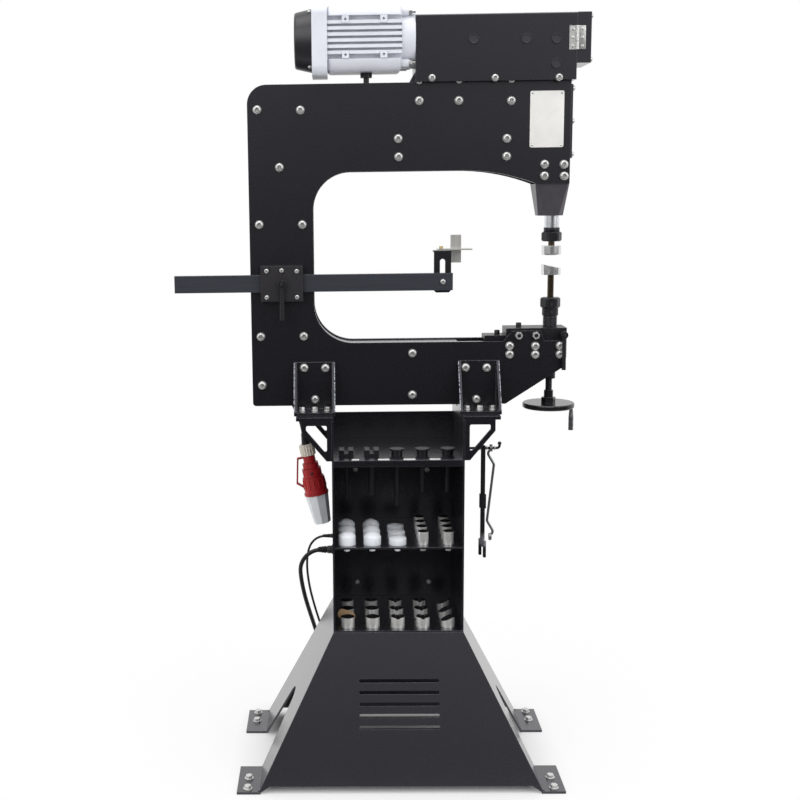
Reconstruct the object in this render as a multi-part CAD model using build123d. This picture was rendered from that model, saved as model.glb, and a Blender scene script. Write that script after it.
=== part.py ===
"""Sheet-metal power hammer with a deep throat, on a flared stand with a die rack.

Millimetres, +Z up. X runs along the throat towards the dies, Y runs to the rear.
The origin is on the floor, at the centre of the stand and in the frame's middle plane.
Heights build up from the floor: base, column, wings, frame, housing and motor.
"""
from build123d import *
import math
import os

# Stand base: four leaning plates, with the feet bent out of the two sides
BASE_SPAN = 770.0
BASE_DEPTH = 466.0
BASE_HEIGHT = 360.0
BASE_SHEET = 6.0
FOOT_WIDTH = 50.0
FOOT_LENGTH = 133.0
FOOT_HOLE = 13.0
FOOT_HOLE_OUT = 25.0
FOOT_HOLE_NEAR = 18.0
FOOT_HOLE_STEP = 52.0
ARCH_HEIGHT = 150.0
ARCH_CROWN = 70.0
ARCH_RISE = 17.5
BASE_TOE = 17.0
BASE_TOE_SLOPE = 28.0
VENT_COUNT = 5
VENT_LENGTH = 190.0
VENT_WIDTH = 8.0
VENT_STEP = 26.0
VENT_HEIGHT = 199.0

# Column: two side panels, a back panel and three shelves
COLUMN_WIDTH = 308.0
COLUMN_DEPTH = 264.0
COLUMN_SHEET = 4.0
COLUMN_HEIGHT = 507.0
BACK_PANEL_DROP = 25.0
LOWER_BAY = 204.0
MIDDLE_BAY = 209.0
SHELF_SHEET = 4.0
RACK_LIP = 15.0

# Wings that carry the frame, with pierced gussets under them
WING_REACH = 82.0
WING_SHEET = 8.0
GUSSET_SHEET = 5.0
GUSSET_REACH = 70.0
GUSSET_EDGE = 26.0
GUSSET_DROP = 95.0
GUSSET_TOE = 12.0
GUSSET_RIM = 11.0
GUSSET_HOLE_R = 4.0

# Frame: two thick plates with a strip welded between them, set in from the edge
DIE_AXIS = 367.0
THROAT_DEPTH = 558.8
THROAT_HEIGHT = 396.0
THROAT_UPPER_R = 87.0
THROAT_LOWER_R = 92.0
SPINE_WIDTH = 148.2
NOSE_REACH = 31.0
FRAME_LIFT = 14.0
FRAME_HEIGHT = 743.0
LOWER_ARM = 149.0
FRAME_THICKNESS = 90.0
PLATE = 10.0
TOP_CORNER_R = 44.0
BOTTOM_CORNER_R = 8.0
NOSE_WIDTH = 75.0
NOSE_DROP = 33.0
BROW_RUN = 176.0
CHIN_RUN = 140.0
CHIN_RISE = 90.0
HUMP_SETBACK = 51.0
HUMP_LENGTH = 96.0
HUMP_HEIGHT = 24.0
HUMP_SLOPE_LEFT = 21.0
HUMP_SLOPE_RIGHT = 8.0
STRIP = 6.0
STRIP_INSET = 3.0
STRIP_STOP = 12.0
NOSE_COVER = 4.0
NOSE_COVER_HEIGHT = 165.0
NOSE_COVER_DROP = 9.0

# Angle brackets between the frame and the wings
BRACKET_WIDTH = 96.0
BRACKET_HEIGHT = 119.0
BRACKET_REACH = 65.0
BRACKET_PLATE = 8.0
BRACKET_RIB = 6.0

# Drive housing on top of the frame, its left foot and its hinged end door
HOUSING_LENGTH = 362.0
HOUSING_OVERHANG = 8.0
HOUSING_HEIGHT = 147.0
HOUSING_DEPTH = 116.0
HOUSING_EDGE_R = 3.0
HOUSING_FOOT_RUN = 13.0
HOUSING_FOOT_HEIGHT = 24.0
DOOR_HEIGHT = 111.0
DOOR_DEPTH = 31.0
DOOR_SHEET = 3.0
DOOR_GAP = 0.5
HINGE_DROP = 30.0
HINGE_LENGTH = 52.0
HINGE_LEAF = 18.0
HINGE_SHEET = 2.0
HINGE_KNUCKLE = 6.0
HINGE_PIN = 3.0

# Motor, flange mounted on the housing's left end
MOTOR_CLEARANCE = 26.0
MOTOR_HALF_HEIGHT = 73.0
MOTOR_HALF_WIDTH = 70.0
MOTOR_CORNER_R = 30.0
MOTOR_WINDOW = 94.0
MOTOR_FIN_DEPTH = 14.0
MOTOR_FIN = 7.5
MOTOR_FIN_STEP = 13.2
MOTOR_FIN_COUNT = 6
MOTOR_BODY_LENGTH = 168.0
MOTOR_END_R = 9.0
PAD = 16.0
PAD_PROUD = 2.0
PAD_HOLE = 5.0
PAD_HOLE_DEPTH = 8.0
PAD_SPACING_X = 86.0
PAD_SPACING_Z = 77.0
SHIELD_LENGTH = 35.0
SHIELD_WIDTH = 148.0
SHIELD_TOP = 74.0
SHIELD_BOTTOM = 82.0
SHIELD_CORNER_R = 22.0
BELL_LENGTH = 31.0
BELL = 130.0
LUG = 19.0
LUG_LENGTH = 16.0
LUG_OUT_Y = 46.0
LUG_OUT_Z = 56.0
COVER_LENGTH = 40.0
COVER_WIDE = 142.0
COVER_NARROW = 124.0
COVER_EDGE_R = 6.0
GRILLE_COUNT = 12
GRILLE_INNER = 22.0
GRILLE_LENGTH = 28.0
GRILLE_WIDTH = 6.0
GRILLE_DEPTH = 5.0
CONDUIT_OUT = 79.0
CONDUIT_NUT = 27.0
CONDUIT_NUT_HEIGHT = 11.0
CONDUIT_NECK = 13.0

# Ram, guide and upper die
RAM = 34.0
RUNNING_FIT = 0.05
RAM_INSIDE = 95.0
RAM_STICK_OUT = 38.0
GUIDE_TOP_X = 78.0
GUIDE_TOP_Y = 84.0
GUIDE_TOP_CORNER = 4.0
GUIDE_BOTTOM_X = 58.0
GUIDE_BOTTOM_Y = 62.0
GUIDE_BOTTOM_CORNER = 12.0
GUIDE_HEIGHT = 73.0
GUIDE_OFFSET = -7.0
NUT = 47.0
NUT_FLATS = 43.0
NUT_HEIGHT = 22.0
NUT_BEVEL = 3.0
DIE_SHANK = 15.0
UPPER_SHANK_LENGTH = 10.0
DIE = 46.0
DIE_HEIGHT = 22.0
DIE_CROWN = 3.0

# Lower die, anvil post and clamp block
DIE_GAP = 21.0
LOWER_DIE_HEIGHT = 25.0
LOWER_DIE_SLOPE = 10.0
LOWER_SHANK_LENGTH = 54.0
LOWER_NUT_HEIGHT = 24.0
COLLAR = 38.0
COLLAR_HEIGHT = 19.0
POST = 34.0
POST_LENGTH = 77.0
POST_BORE_ROOF = 11.0
BLOCK_LENGTH = 142.0
BLOCK_STAND_OUT = 3.0
BLOCK_HEIGHT = 71.0
BLOCK_RISE = 29.0
TAB_LENGTH = 50.0
TAB_HEIGHT = 12.0
TAB_WIDTH = 56.0
CLAMP_SLIT = 3.0

# Elevating screw with its handwheel and crank handle
SCREW = 15.0
SCREW_CLEARANCE = 1.5
SCREW_HEAD_ROOM = 37.0
NUT_HOUSING = 30.0
NUT_HOUSING_DROP = 16.0
SCREW_DROP = 29.0
SCREW_COLLAR = 22.0
SCREW_COLLAR_HEIGHT = 17.0
HUB = 34.0
HUB_HEIGHT = 25.0
WHEEL = 123.0
WHEEL_RIM = 12.0
WHEEL_BEVEL = 2.0
CRANK_ROD = 8.0
CRANK_OUT = 55.0
CRANK_DROP = 8.0
GRIP = 12.0
GRIP_NECK = 9.0
GRIP_TAPER = 16.0
GRIP_LENGTH = 48.0

# Lock lever of the anvil clamp
LOCK_INSET = 9.0
LOCK_DROP = 15.0
LOCK_HUB = 17.0
LOCK_HUB_LENGTH = 14.0
LOCK_ARM = 8.0
LOCK_ARM_TIP = 10.0
LOCK_ARM_LENGTH = 82.0

# Guide arm, its clamp and lock lever
ARM_LENGTH = 648.0
ARM_REACH = 322.8
ARM_RISE = 122.0
ARM_HEIGHT = 40.0
ARM_THICKNESS = 12.0
SLIDE_GAP = 0.4
CLAMP_WIDTH = 98.0
CLAMP_HEIGHT = 82.0
CLAMP_PLATE = 10.0
ARM_LOCK_HUB = 19.0
ARM_LOCK_HUB_LENGTH = 16.0
ARM_LOCK_ARM = 9.0
ARM_LOCK_TIP = 12.0
ARM_LOCK_ARM_LENGTH = 83.0

# Work stop at the end of the guide arm
STOP_INSET = 3.0
STOP_WIDTH = 40.0
STOP_HEIGHT = 97.0
STOP_OVERHANG = 6.0
STOP_CORNER = 5.0
STOP_SHEET = 4.0
STOP_FLANGE = 36.0
SLOT_WIDTH = 12.0
SLOT_LENGTH = 64.0
SLOT_UP = 14.0
TONGUE_INSET = 11.0
TONGUE_LENGTH = 80.0
TONGUE_WIDTH = 46.0
VANE_SHEET = 3.0
VANE_INSET = 31.0
VANE_WIDTH = 25.0
VANE_HEIGHT = 65.0
VANE_RISE = 35.0

# Electrical box on the back of the column, and the cable glands
EBOX_WIDTH = 296.0
EBOX_DEPTH = 100.0
EBOX_HEIGHT = 330.0
EBOX_LIFT = 21.0
EBOX_EDGE_R = 8.0
EBOX_DOOR_RIM = 14.0
EBOX_DOOR = 3.0
EBOX_HINGE = 9.0
EBOX_HINGE_LENGTH = 46.0
EBOX_HINGE_INSET = 60.0
THICK_CABLE = 11.0
THIN_CABLE = 6.0
THICK_GLAND_UP = 87.0
THIN_GLAND_UP = 124.0
GLAND_NUT_SHARE = 2.4
GLAND_CAP_SHARE = 1.9
GLAND_NUT_HEIGHT_SHARE = 0.8
GLAND_CAP_HEIGHT_SHARE = 1.3
THICK_ENTRY_X = -185.0
THICK_ENTRY_Z = 100.0
THIN_ENTRY_X = -150.0
THIN_ENTRY_Z = 118.0
FRAME_GLAND_IN = 65.0
FRAME_GLAND_UP = 92.0
CORD_ARC_SHARE = 0.45
# Turning points of each lead, as steps from its first and from its last end
POWER_FROM_BOX = [
    (-23.4, 0, 0), (-45.4, 0.5, -9.5), (-61.4, 3, -27.5), (-69.4, 9, -51), (-67.9, 18.5, -80),
    (-63.9, 28.6, -110.5), (-58.3, 41.9, -142.4), (-51.5, 57.7, -174)]
POWER_TO_BASE = [
    (-30.4, 29.1, 160.8), (-22.7, 44.1, 129.8), (-15.4, 55.3, 99.8), (-9.4, 60.4, 70.8),
    (-5, 56.8, 44.8), (-2, 43.8, 22.3), (0, 24.1, 6.8)]
CONTROL_FROM_BOX = [
    (-16.4, 0, 0), (-31.9, 2, -4.5), (-44.9, 6, -15), (-53.4, 11, -31), (-57.4, 17, -55),
    (-56.8, 23, -86), (-52.4, 29.5, -119), (-45.9, 38, -155)]
CONTROL_TO_BASE = [
    (-48.6, 18, 196.6), (-40, 28.5, 160.6), (-30.7, 39, 125.6), (-21.9, 47.3, 93.1), (-14.1, 51.5, 64.6),
    (-7.9, 49, 39.6), (-3.3, 38.3, 19.6), (-0.5, 21.5, 6.1)]
PLUG_FROM_FRAME = [
    (0, 24.9, 0), (0.5, 47.9, -10), (1.7, 65.4, -28), (4.2, 74.9, -51), (9, 75.9, -77.5)]
PLUG_TO_NUT = [
    (-33.5, 26.5, 85), (-22, 15.5, 64), (-12, 4.5, 44), (-4.6, 0, 23.6)]

# Supply plug hanging beside the column
PLUG_OUT = 70.0
PLUG_BACK = 112.0
PLUG_DROP = 75.0
PLUG_LEAN = 11.0
PLUG_GLAND = 24.0
PLUG_GLAND_LENGTH = 28.0
PLUG_NUT = 39.0
PLUG_NUT_LENGTH = 29.0
PLUG_NECK = 31.0
PLUG_NECK_LENGTH = 20.0
PLUG_STEP = 40.0
PLUG_STEP_LENGTH = 14.0
PLUG_BODY = 48.0
PLUG_BODY_LENGTH = 22.0
PLUG_SKIRT = 54.0
PLUG_COLLAR = 62.0
PLUG_COLLAR_LENGTH = 46.0
PLUG_RIM = 5.0
PLUG_CAP_TOP = 59.0
PLUG_CAP_BOTTOM = 42.0
PLUG_CAP_LENGTH = 76.0
PLUG_CAP_SIDES = 8
PLUG_WALL = 4.0
PLUG_SOCKET_DEPTH = 40.0
LEVER_SHEET = 4.0
LEVER_WIDTH = 12.0
LEVER_GAP = 13.0
LEVER_LENGTH = 62.0
LEVER_FLARE = 14.0
LEVER_FOOT = 17.0

# Tool hook and the two spanners on it
HOOK_ROD = 6.0
HOOK_BACK = 32.0
HOOK_DROP = 73.0
HOOK_REACH = 84.0
HOOK_TIP = 12.0
SPANNER_WIDTH = 14.0
SPANNER_SHEET = 5.0
SPANNER_LENGTH = 268.0
SPANNER_OUT = 46.0
SPANNER_TURN = 20.0
GRIP_PLATE_LENGTH = 34.0
GRIP_PLATE_DROP = 110.0
GRIP_PLATE = 3.0
FORK_WIDTH = 30.0
FORK_LENGTH = 40.0
FORK_JAW = 16.0
FORK_DEPTH = 24.0
RING_ROD = 6.0
RING_OUT = 64.0
RING_HEAD = 17.0
RING_HEAD_SHEET = 6.0
RING_BORE = 10.0
RING_CRANK = 15.0
RING_CRANK_RUN = 26.0
RING_LENGTH = 214.0
RING_BEND_R = 9.0

# Dies and tools kept in the rack
RACK_COLUMNS = 5
RACK_STEP = 60.0
RACK_TOOL_BACK = 62.0
RACK_SHANKS = (6.0, 16.0, 13.0, 12.0, 14.0)
RACK_HOLE_GAP = 0.3
RACK_TOOL_SHANKS = (106.0, 94.0, 120.0, 91.0, 89.0)
RACK_BLOCKS = 2
RACK_HEAD = 34.0
RACK_HEAD_HEIGHT = 16.0
RACK_HEAD_RIM = 4.0
RACK_HEAD_NECK = 26.0
RACK_BLOCK_DEPTH = 40.0
RACK_BLOCK_SLOT = 10.0
STORE_SHANK = 14.0
STORE_SHANK_LENGTH = 16.0
FRONT_ROW_BACK = 32.0
NYLON_COLUMNS = 3
NYLON_DIE = 41.0
NYLON_HEIGHTS = (32.0, 32.0, 19.0)
NYLON_CROWNS = (11.0, 13.0, 4.0)
NYLON_ROWS = 3
NYLON_ROW_STEP = 55.0
STEEL_DIE = 26.0
STEEL_HEIGHT = 34.0
STEEL_ROWS = 4
STEEL_ROW_STEP = 45.0
BASE_DIE = 33.0
BASE_DIE_HEIGHT = 28.0
BASE_ROWS = 3
BASE_ROW_STEP = 62.0
GROOVES = (0.0, 7.0, 12.0, 12.0, 0.0)
LAST_DIE_SLOPE = 14.0
CUT_OVERRUN = 2.0

os.makedirs("parts", exist_ok=True)


def block(x, y, z):
    """A box between two values on each axis."""
    return Pos(x[0], y[0], z[0]) * Box(x[1] - x[0], y[1] - y[0], z[1] - z[0], align=(Align.MIN,) * 3)


def spun(profile):
    """A solid of revolution about Z from (radius, height) points, closed along the axis."""
    points = [(0, 0, profile[0][1])] + [(r, 0, h) for r, h in profile] + [(0, 0, profile[-1][1])]
    return revolve(make_face(Polyline(*points, close=True)), Axis.Z)


def tapered(start, end, start_diameter, end_diameter):
    """A round bar from one point to another, with a diameter for each end."""
    start, end = Vector(start), Vector(end)
    bar = spun([(start_diameter / 2, 0), (end_diameter / 2, (end - start).length)])
    return Plane(origin=start, z_dir=end - start).location * bar


def rod(start, end, diameter):
    """A round bar from one point to another."""
    return tapered(start, end, diameter, diameter)


def post(x, y, bottom, top, diameter):
    """An upright round bar."""
    return rod((x, y, bottom), (x, y, top), diameter)


def slab_y(face_points, y):
    """An outline in X and Z, thickened between two values of Y."""
    face = make_face(Polyline(*[(px, 0, pz) for px, pz in face_points], close=True))
    return Pos(0, y[0], 0) * extrude(face, y[1] - y[0], dir=(0, 1, 0))


def slab_x(face_points, x):
    """An outline in Y and Z, thickened between two values of X."""
    face = make_face(Polyline(*[(0, py, pz) for py, pz in face_points], close=True))
    return Pos(x[0], 0, 0) * extrude(face, x[1] - x[0], dir=(1, 0, 0))


def both_sides(value):
    return (-value, value)


def spread(count, step):
    """Places of a row of that many, a step apart and centred on zero."""
    return [(number - (count - 1) / 2) * step for number in range(count)]


def save(shape, node):
    export_step(shape, f"parts/{node}.step")


# Heights and lengths that several pieces share
top_x = COLUMN_WIDTH / 2
top_y = COLUMN_DEPTH / 2
toe_x = BASE_SPAN / 2 - FOOT_WIDTH
toe_y = BASE_DEPTH / 2
inner_x = top_x - COLUMN_SHEET
inner_y = top_y - COLUMN_SHEET
shelf_top = BASE_HEIGHT + SHELF_SHEET
middle_top = shelf_top + LOWER_BAY
rack_top = middle_top + MIDDLE_BAY
column_top = shelf_top + COLUMN_HEIGHT
wing_top = column_top + WING_SHEET
half_frame = FRAME_THICKNESS / 2
core = half_frame - PLATE
throat_left = DIE_AXIS - THROAT_DEPTH
frame_left = throat_left - SPINE_WIDTH
frame_right = DIE_AXIS + NOSE_REACH
frame_bottom = wing_top + FRAME_LIFT
frame_top = frame_bottom + FRAME_HEIGHT
throat_floor = frame_bottom + LOWER_ARM
throat_top = throat_floor + THROAT_HEIGHT
nose_left = frame_right - NOSE_WIDTH
nose_bottom = throat_top - NOSE_DROP
brow_start = nose_left - BROW_RUN
chin_start = frame_right - CHIN_RUN
spine_middle = throat_left - SPINE_WIDTH / 2


# Base plates
def leaning(top, toe):
    """Section of a plate that leans out from the column to the floor."""
    return [(top, BASE_HEIGHT), (toe, 0), (toe - BASE_SHEET, 0), (top - BASE_SHEET, BASE_HEIGHT)]


def trapezoid(top, toe):
    return [(-top, BASE_HEIGHT), (top, BASE_HEIGHT), (toe, 0), (-toe, 0)]


toe_cut = slab_y(
    [(-toe_x, 0), (toe_x, 0), (toe_x - BASE_TOE_SLOPE, BASE_TOE), (BASE_TOE_SLOPE - toe_x, BASE_TOE)],
    both_sides(toe_y))
vents = []
for height in spread(VENT_COUNT, VENT_STEP):
    slot = Plane.XZ * Pos(0, VENT_HEIGHT + height) * SlotOverall(VENT_LENGTH, VENT_WIDTH)
    vents.append(extrude(slot, toe_y))
end_plate = slab_x(leaning(top_y, toe_y), both_sides(toe_x))
end_plate &= slab_y(trapezoid(top_x, toe_x), both_sides(toe_y))
rear_plate = end_plate - toe_cut
save(mirror(rear_plate, Plane.XZ) - vents, "base_front_plate")
save(rear_plate, "base_rear_plate")

arch_half = toe_y - FOOT_LENGTH
crown_half = ARCH_CROWN / 2
arch = make_face([
    Polyline((0, -crown_half, ARCH_HEIGHT), (0, -arch_half, 0), (0, arch_half, 0),
             (0, crown_half, ARCH_HEIGHT)),
    ThreePointArc((0, crown_half, ARCH_HEIGHT), (0, 0, ARCH_HEIGHT + ARCH_RISE),
                  (0, -crown_half, ARCH_HEIGHT)),
])
side = slab_y(leaning(top_x, toe_x), both_sides(toe_y))
side &= slab_x(trapezoid(top_y - BASE_SHEET, toe_y - BASE_SHEET), (0, BASE_SPAN))
side -= extrude(arch, BASE_SPAN, dir=(1, 0, 0))
end_sections = [leaning(top_y, toe_y), [(-py, pz) for py, pz in leaning(top_y, toe_y)]]
for end in (-1, 1):
    foot = block((toe_x - BASE_SHEET, toe_x + FOOT_WIDTH), sorted((end * toe_y, end * arch_half)),
                 (0, BASE_SHEET))
    side += foot - [slab_x(section, (0, toe_x)) for section in end_sections]
    for step in (0, FOOT_HOLE_STEP):
        hole_y = end * (toe_y - FOOT_HOLE_NEAR - step)
        side -= post(toe_x + FOOT_HOLE_OUT, hole_y, -CUT_OVERRUN, BASE_SHEET + CUT_OVERRUN, FOOT_HOLE)
save(side, "base_right_side")
save(mirror(side, Plane.YZ), "base_left_side")

# Column panels
for name, x in (("column_left_panel", (-top_x, -inner_x)), ("column_right_panel", (inner_x, top_x))):
    save(block(x, both_sides(top_y), (shelf_top, column_top)), name)
back_panel = block(both_sides(inner_x), (inner_y, top_y), (shelf_top, column_top - BACK_PANEL_DROP))
save(back_panel, "column_back_panel")

# Dies stored on the shelves, with the holes that their shanks need
column_x = spread(RACK_COLUMNS, RACK_STEP)
front_row = FRONT_ROW_BACK - top_y


def stored_die(x, y, seat, diameter, height, crown):
    """A die standing on a shelf by its shoulder, with its shank down through the shelf."""
    r = diameter / 2
    outline = Polyline((0, -STORE_SHANK_LENGTH), (STORE_SHANK / 2, -STORE_SHANK_LENGTH),
                       (STORE_SHANK / 2, 0), (r, 0), (r, height - crown))
    dome = RadiusArc((r, height - crown), (0, height), -(r * r + crown * crown) / (2 * crown))
    axis_line = Line((0, height), (0, -STORE_SHANK_LENGTH))
    profile = Plane.XZ * make_face([outline, dome, axis_line])
    return Pos(x, y, seat) * revolve(profile, Axis.Z)


def shank_holes(places, seat):
    return [post(x, y, seat - SHELF_SHEET - CUT_OVERRUN, seat + CUT_OVERRUN, STORE_SHANK + 2 * RACK_HOLE_GAP)
            for x, y in places]


def row_places(columns, rows, step):
    return [(x, front_row + row * step) for x in columns for row in range(rows)]


nylon_places = row_places(column_x[:NYLON_COLUMNS], NYLON_ROWS, NYLON_ROW_STEP)
steel_places = row_places(column_x[NYLON_COLUMNS:], STEEL_ROWS, STEEL_ROW_STEP)
base_places = row_places(column_x, BASE_ROWS, BASE_ROW_STEP)
nylon = []
for x, height, crown in zip(column_x, NYLON_HEIGHTS, NYLON_CROWNS):
    nylon += [stored_die(x, y, middle_top, NYLON_DIE, height, crown)
              for x, y in row_places([x], NYLON_ROWS, NYLON_ROW_STEP)]
steel = [stored_die(x, y, middle_top, STEEL_DIE, STEEL_HEIGHT, DIE_CROWN) for x, y in steel_places]
base_dies = []
for x, groove in zip(column_x, GROOVES):
    for place_x, y in row_places([x], BASE_ROWS, BASE_ROW_STEP):
        die = stored_die(place_x, y, shelf_top, BASE_DIE, BASE_DIE_HEIGHT, DIE_CROWN)
        die_top = shelf_top + BASE_DIE_HEIGHT
        if groove:
            die -= rod((x, y - BASE_DIE, die_top), (x, y + BASE_DIE, die_top), groove)
        elif x == column_x[-1]:
            die -= slab_y([(x - BASE_DIE / 2, die_top), (x + BASE_DIE / 2, die_top),
                           (x - BASE_DIE / 2, die_top - LAST_DIE_SLOPE)], (y - BASE_DIE, y + BASE_DIE))
        base_dies.append(die)
save(Compound(nylon), "nylon_dies")
save(Compound(steel), "shelf_dies")
save(Compound(base_dies), "base_dies")

# Shelves
base_shelf = block(both_sides(top_x), both_sides(top_y), (BASE_HEIGHT, shelf_top))
save(base_shelf - shank_holes(base_places, shelf_top), "base_shelf")
middle = block(both_sides(inner_x), (-top_y, inner_y), (middle_top - SHELF_SHEET, middle_top))
save(middle - shank_holes(nylon_places + steel_places, middle_top), "middle_shelf")

# Tool rack with its front lip, and the hammer tools that hang in it
rack = block(both_sides(inner_x), (-top_y, inner_y), (rack_top - SHELF_SHEET, rack_top))
rack += block(both_sides(inner_x), (-top_y, SHELF_SHEET - top_y), (rack_top - RACK_LIP, rack_top))
tool_y = RACK_TOOL_BACK - top_y
round_head = spun([(RACK_HEAD_NECK / 2, 0), (RACK_HEAD_NECK / 2, RACK_HEAD_HEIGHT - RACK_HEAD_RIM),
                   (RACK_HEAD / 2, RACK_HEAD_HEIGHT - RACK_HEAD_RIM), (RACK_HEAD / 2, RACK_HEAD_HEIGHT)])
fork_head = block(both_sides(RACK_HEAD / 2), both_sides(RACK_BLOCK_DEPTH / 2), (0, RACK_HEAD_HEIGHT))
fork_head -= block(both_sides(RACK_BLOCK_SLOT / 2), both_sides(RACK_BLOCK_DEPTH),
                   (RACK_HEAD_HEIGHT / 2, RACK_HEAD_HEIGHT + CUT_OVERRUN))
rack_tools = []
for number, (x, shank, length) in enumerate(zip(column_x, RACK_SHANKS, RACK_TOOL_SHANKS)):
    rack -= post(x, tool_y, rack_top - RACK_LIP, rack_top + CUT_OVERRUN, shank + 2 * RACK_HOLE_GAP)
    head = fork_head if number < RACK_BLOCKS else round_head
    tool_shank = post(x, tool_y, rack_top - length, rack_top, shank)
    rack_tools.append(tool_shank + Pos(x, tool_y, rack_top) * head)
save(rack, "tool_rack")
save(Compound(rack_tools), "rack_tools")

# Wings, and gussets with one rounded opening that follows their outline
gusset_bottom = column_top - GUSSET_DROP
gusset_slope = (GUSSET_REACH - GUSSET_TOE) / (GUSSET_DROP - GUSSET_EDGE)
rim_across = GUSSET_RIM * math.hypot(1, gusset_slope)


def rim_height(out):
    """Height of the opening's sloping edge at a distance out from the panel."""
    return column_top - GUSSET_EDGE - (GUSSET_REACH - rim_across - out) / gusset_slope


gusset = [(top_x, column_top), (top_x + GUSSET_REACH, column_top),
          (top_x + GUSSET_REACH, column_top - GUSSET_EDGE), (top_x + GUSSET_TOE, gusset_bottom),
          (top_x, gusset_bottom)]
hole_out = GUSSET_REACH - GUSSET_RIM
gusset_hole = [(top_x + GUSSET_RIM, column_top - GUSSET_RIM), (top_x + hole_out, column_top - GUSSET_RIM),
               (top_x + hole_out, rim_height(hole_out)), (top_x + GUSSET_RIM, rim_height(GUSSET_RIM))]
wing = block((inner_x, top_x + WING_REACH), both_sides(top_y), (column_top, wing_top))
for y in ((-top_y, GUSSET_SHEET - top_y), (top_y - GUSSET_SHEET, top_y)):
    opening = slab_y(gusset_hole, y)
    wing += slab_y(gusset, y) - fillet(opening.edges().filter_by(Axis.Y), GUSSET_HOLE_R)
save(wing, "right_wing")
save(mirror(wing, Plane.YZ), "left_wing")

# Frame plates
hump_top = throat_floor + HUMP_HEIGHT
hump_right = frame_right - HUMP_SETBACK
hump_left = hump_right - HUMP_LENGTH
brow_radius = (BROW_RUN ** 2 + NOSE_DROP ** 2) / (2 * NOSE_DROP)
brow_mid = math.asin(BROW_RUN / brow_radius) / 2


def xz(*points):
    return [(px, 0, pz) for px, pz in points]


def chin_height(x):
    """Height of the sloping lower edge under the dies."""
    return frame_bottom + CHIN_RISE * (x - chin_start) / CHIN_RUN


lower_edge = Polyline(*xz(
    (brow_start, throat_top), (throat_left, throat_top), (throat_left, throat_floor),
    (hump_left, throat_floor), (hump_left + HUMP_SLOPE_LEFT, hump_top),
    (hump_right - HUMP_SLOPE_RIGHT, hump_top), (hump_right, throat_floor),
    (frame_right, throat_floor), (frame_right, chin_height(frame_right)),
    (chin_start, frame_bottom), (frame_left, frame_bottom), (frame_left, frame_top),
    (frame_right, frame_top), (frame_right, nose_bottom), (nose_left, nose_bottom)))
brow = ThreePointArc(
    (brow_start, 0, throat_top),
    (brow_start + brow_radius * math.sin(brow_mid), 0, throat_top - brow_radius * (1 - math.cos(brow_mid))),
    (nose_left, 0, nose_bottom))
outline = make_face([lower_edge, brow])


def round_corner(face, x, z, radius):
    corner = face.vertices().sort_by_distance((x, 0, z))[0]
    return fillet(corner, radius)


outline = round_corner(outline, throat_left, throat_top, THROAT_UPPER_R)
outline = round_corner(outline, throat_left, throat_floor, THROAT_LOWER_R)
outline = round_corner(outline, frame_left, frame_top, TOP_CORNER_R)
outline = round_corner(outline, frame_left, frame_bottom, BOTTOM_CORNER_R)
plate = extrude(outline, PLATE, dir=(0, 1, 0))
save(Pos(0, -half_frame, 0) * plate, "frame_front_plate")
save(Pos(0, core, 0) * plate, "frame_rear_plate")

# Strips between the plates: along the throat, and round the outside
strip_top = frame_top - STRIP_INSET
strip_left = frame_left + STRIP_INSET
strip_bottom = frame_bottom + STRIP_INSET
strip_right = frame_right - STRIP_STOP
strip_in = STRIP_INSET + STRIP


def throat_path(inset):
    """Throat edge moved into the frame by the inset, with its two corners rounded."""
    face = make_face(Polyline(*xz(
        (brow_start, throat_top + inset), (throat_left - inset, throat_top + inset),
        (throat_left - inset, throat_floor - inset), (brow_start, throat_floor - inset)), close=True))
    face = round_corner(face, throat_left - inset, throat_top + inset, THROAT_UPPER_R + inset)
    return round_corner(face, throat_left - inset, throat_floor - inset, THROAT_LOWER_R + inset)


throat_ring = throat_path(strip_in) - throat_path(STRIP_INSET)
save(Pos(0, -core, 0) * extrude(throat_ring, 2 * core, dir=(0, 1, 0)), "throat_strip")

outer = make_face(Polyline(*xz(
    (strip_right, strip_top), (strip_left, strip_top), (strip_left, strip_bottom),
    (chin_start, strip_bottom), (chin_start, strip_bottom + STRIP),
    (strip_left + STRIP, strip_bottom + STRIP), (strip_left + STRIP, strip_top - STRIP),
    (strip_right, strip_top - STRIP)), close=True))
outer = round_corner(outer, strip_left, strip_top, TOP_CORNER_R - STRIP_INSET)
outer = round_corner(outer, strip_left + STRIP, strip_top - STRIP, TOP_CORNER_R - strip_in)
save(Pos(0, -core, 0) * extrude(outer, 2 * core, dir=(0, 1, 0)), "back_strip")

nose_cover_top = frame_top - NOSE_COVER_DROP
nose_cover = block((frame_right, frame_right + NOSE_COVER), both_sides(half_frame),
                   (nose_cover_top - NOSE_COVER_HEIGHT, nose_cover_top))
save(nose_cover, "nose_cover")

# Angle brackets, centred on the wings
leg_out = half_frame + BRACKET_PLATE
reach_out = half_frame + BRACKET_REACH
shelf_out = wing_top + BRACKET_PLATE
wing_middle = (inner_x + top_x + WING_REACH) / 2
rib = [(-leg_out, wing_top + BRACKET_HEIGHT), (-reach_out, shelf_out), (-leg_out, shelf_out)]
brackets = []
for x in both_sides(wing_middle):
    span = (x - BRACKET_WIDTH / 2, x + BRACKET_WIDTH / 2)
    angle = block(span, (-leg_out, -half_frame), (wing_top, wing_top + BRACKET_HEIGHT))
    angle += block(span, (-reach_out, -half_frame), (wing_top, shelf_out))
    angle += slab_x(rib, (span[0], span[0] + BRACKET_RIB))
    angle += slab_x(rib, (span[1] - BRACKET_RIB, span[1]))
    brackets += [angle, mirror(angle, Plane.XZ)]
save(Compound(brackets), "frame_brackets")

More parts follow.
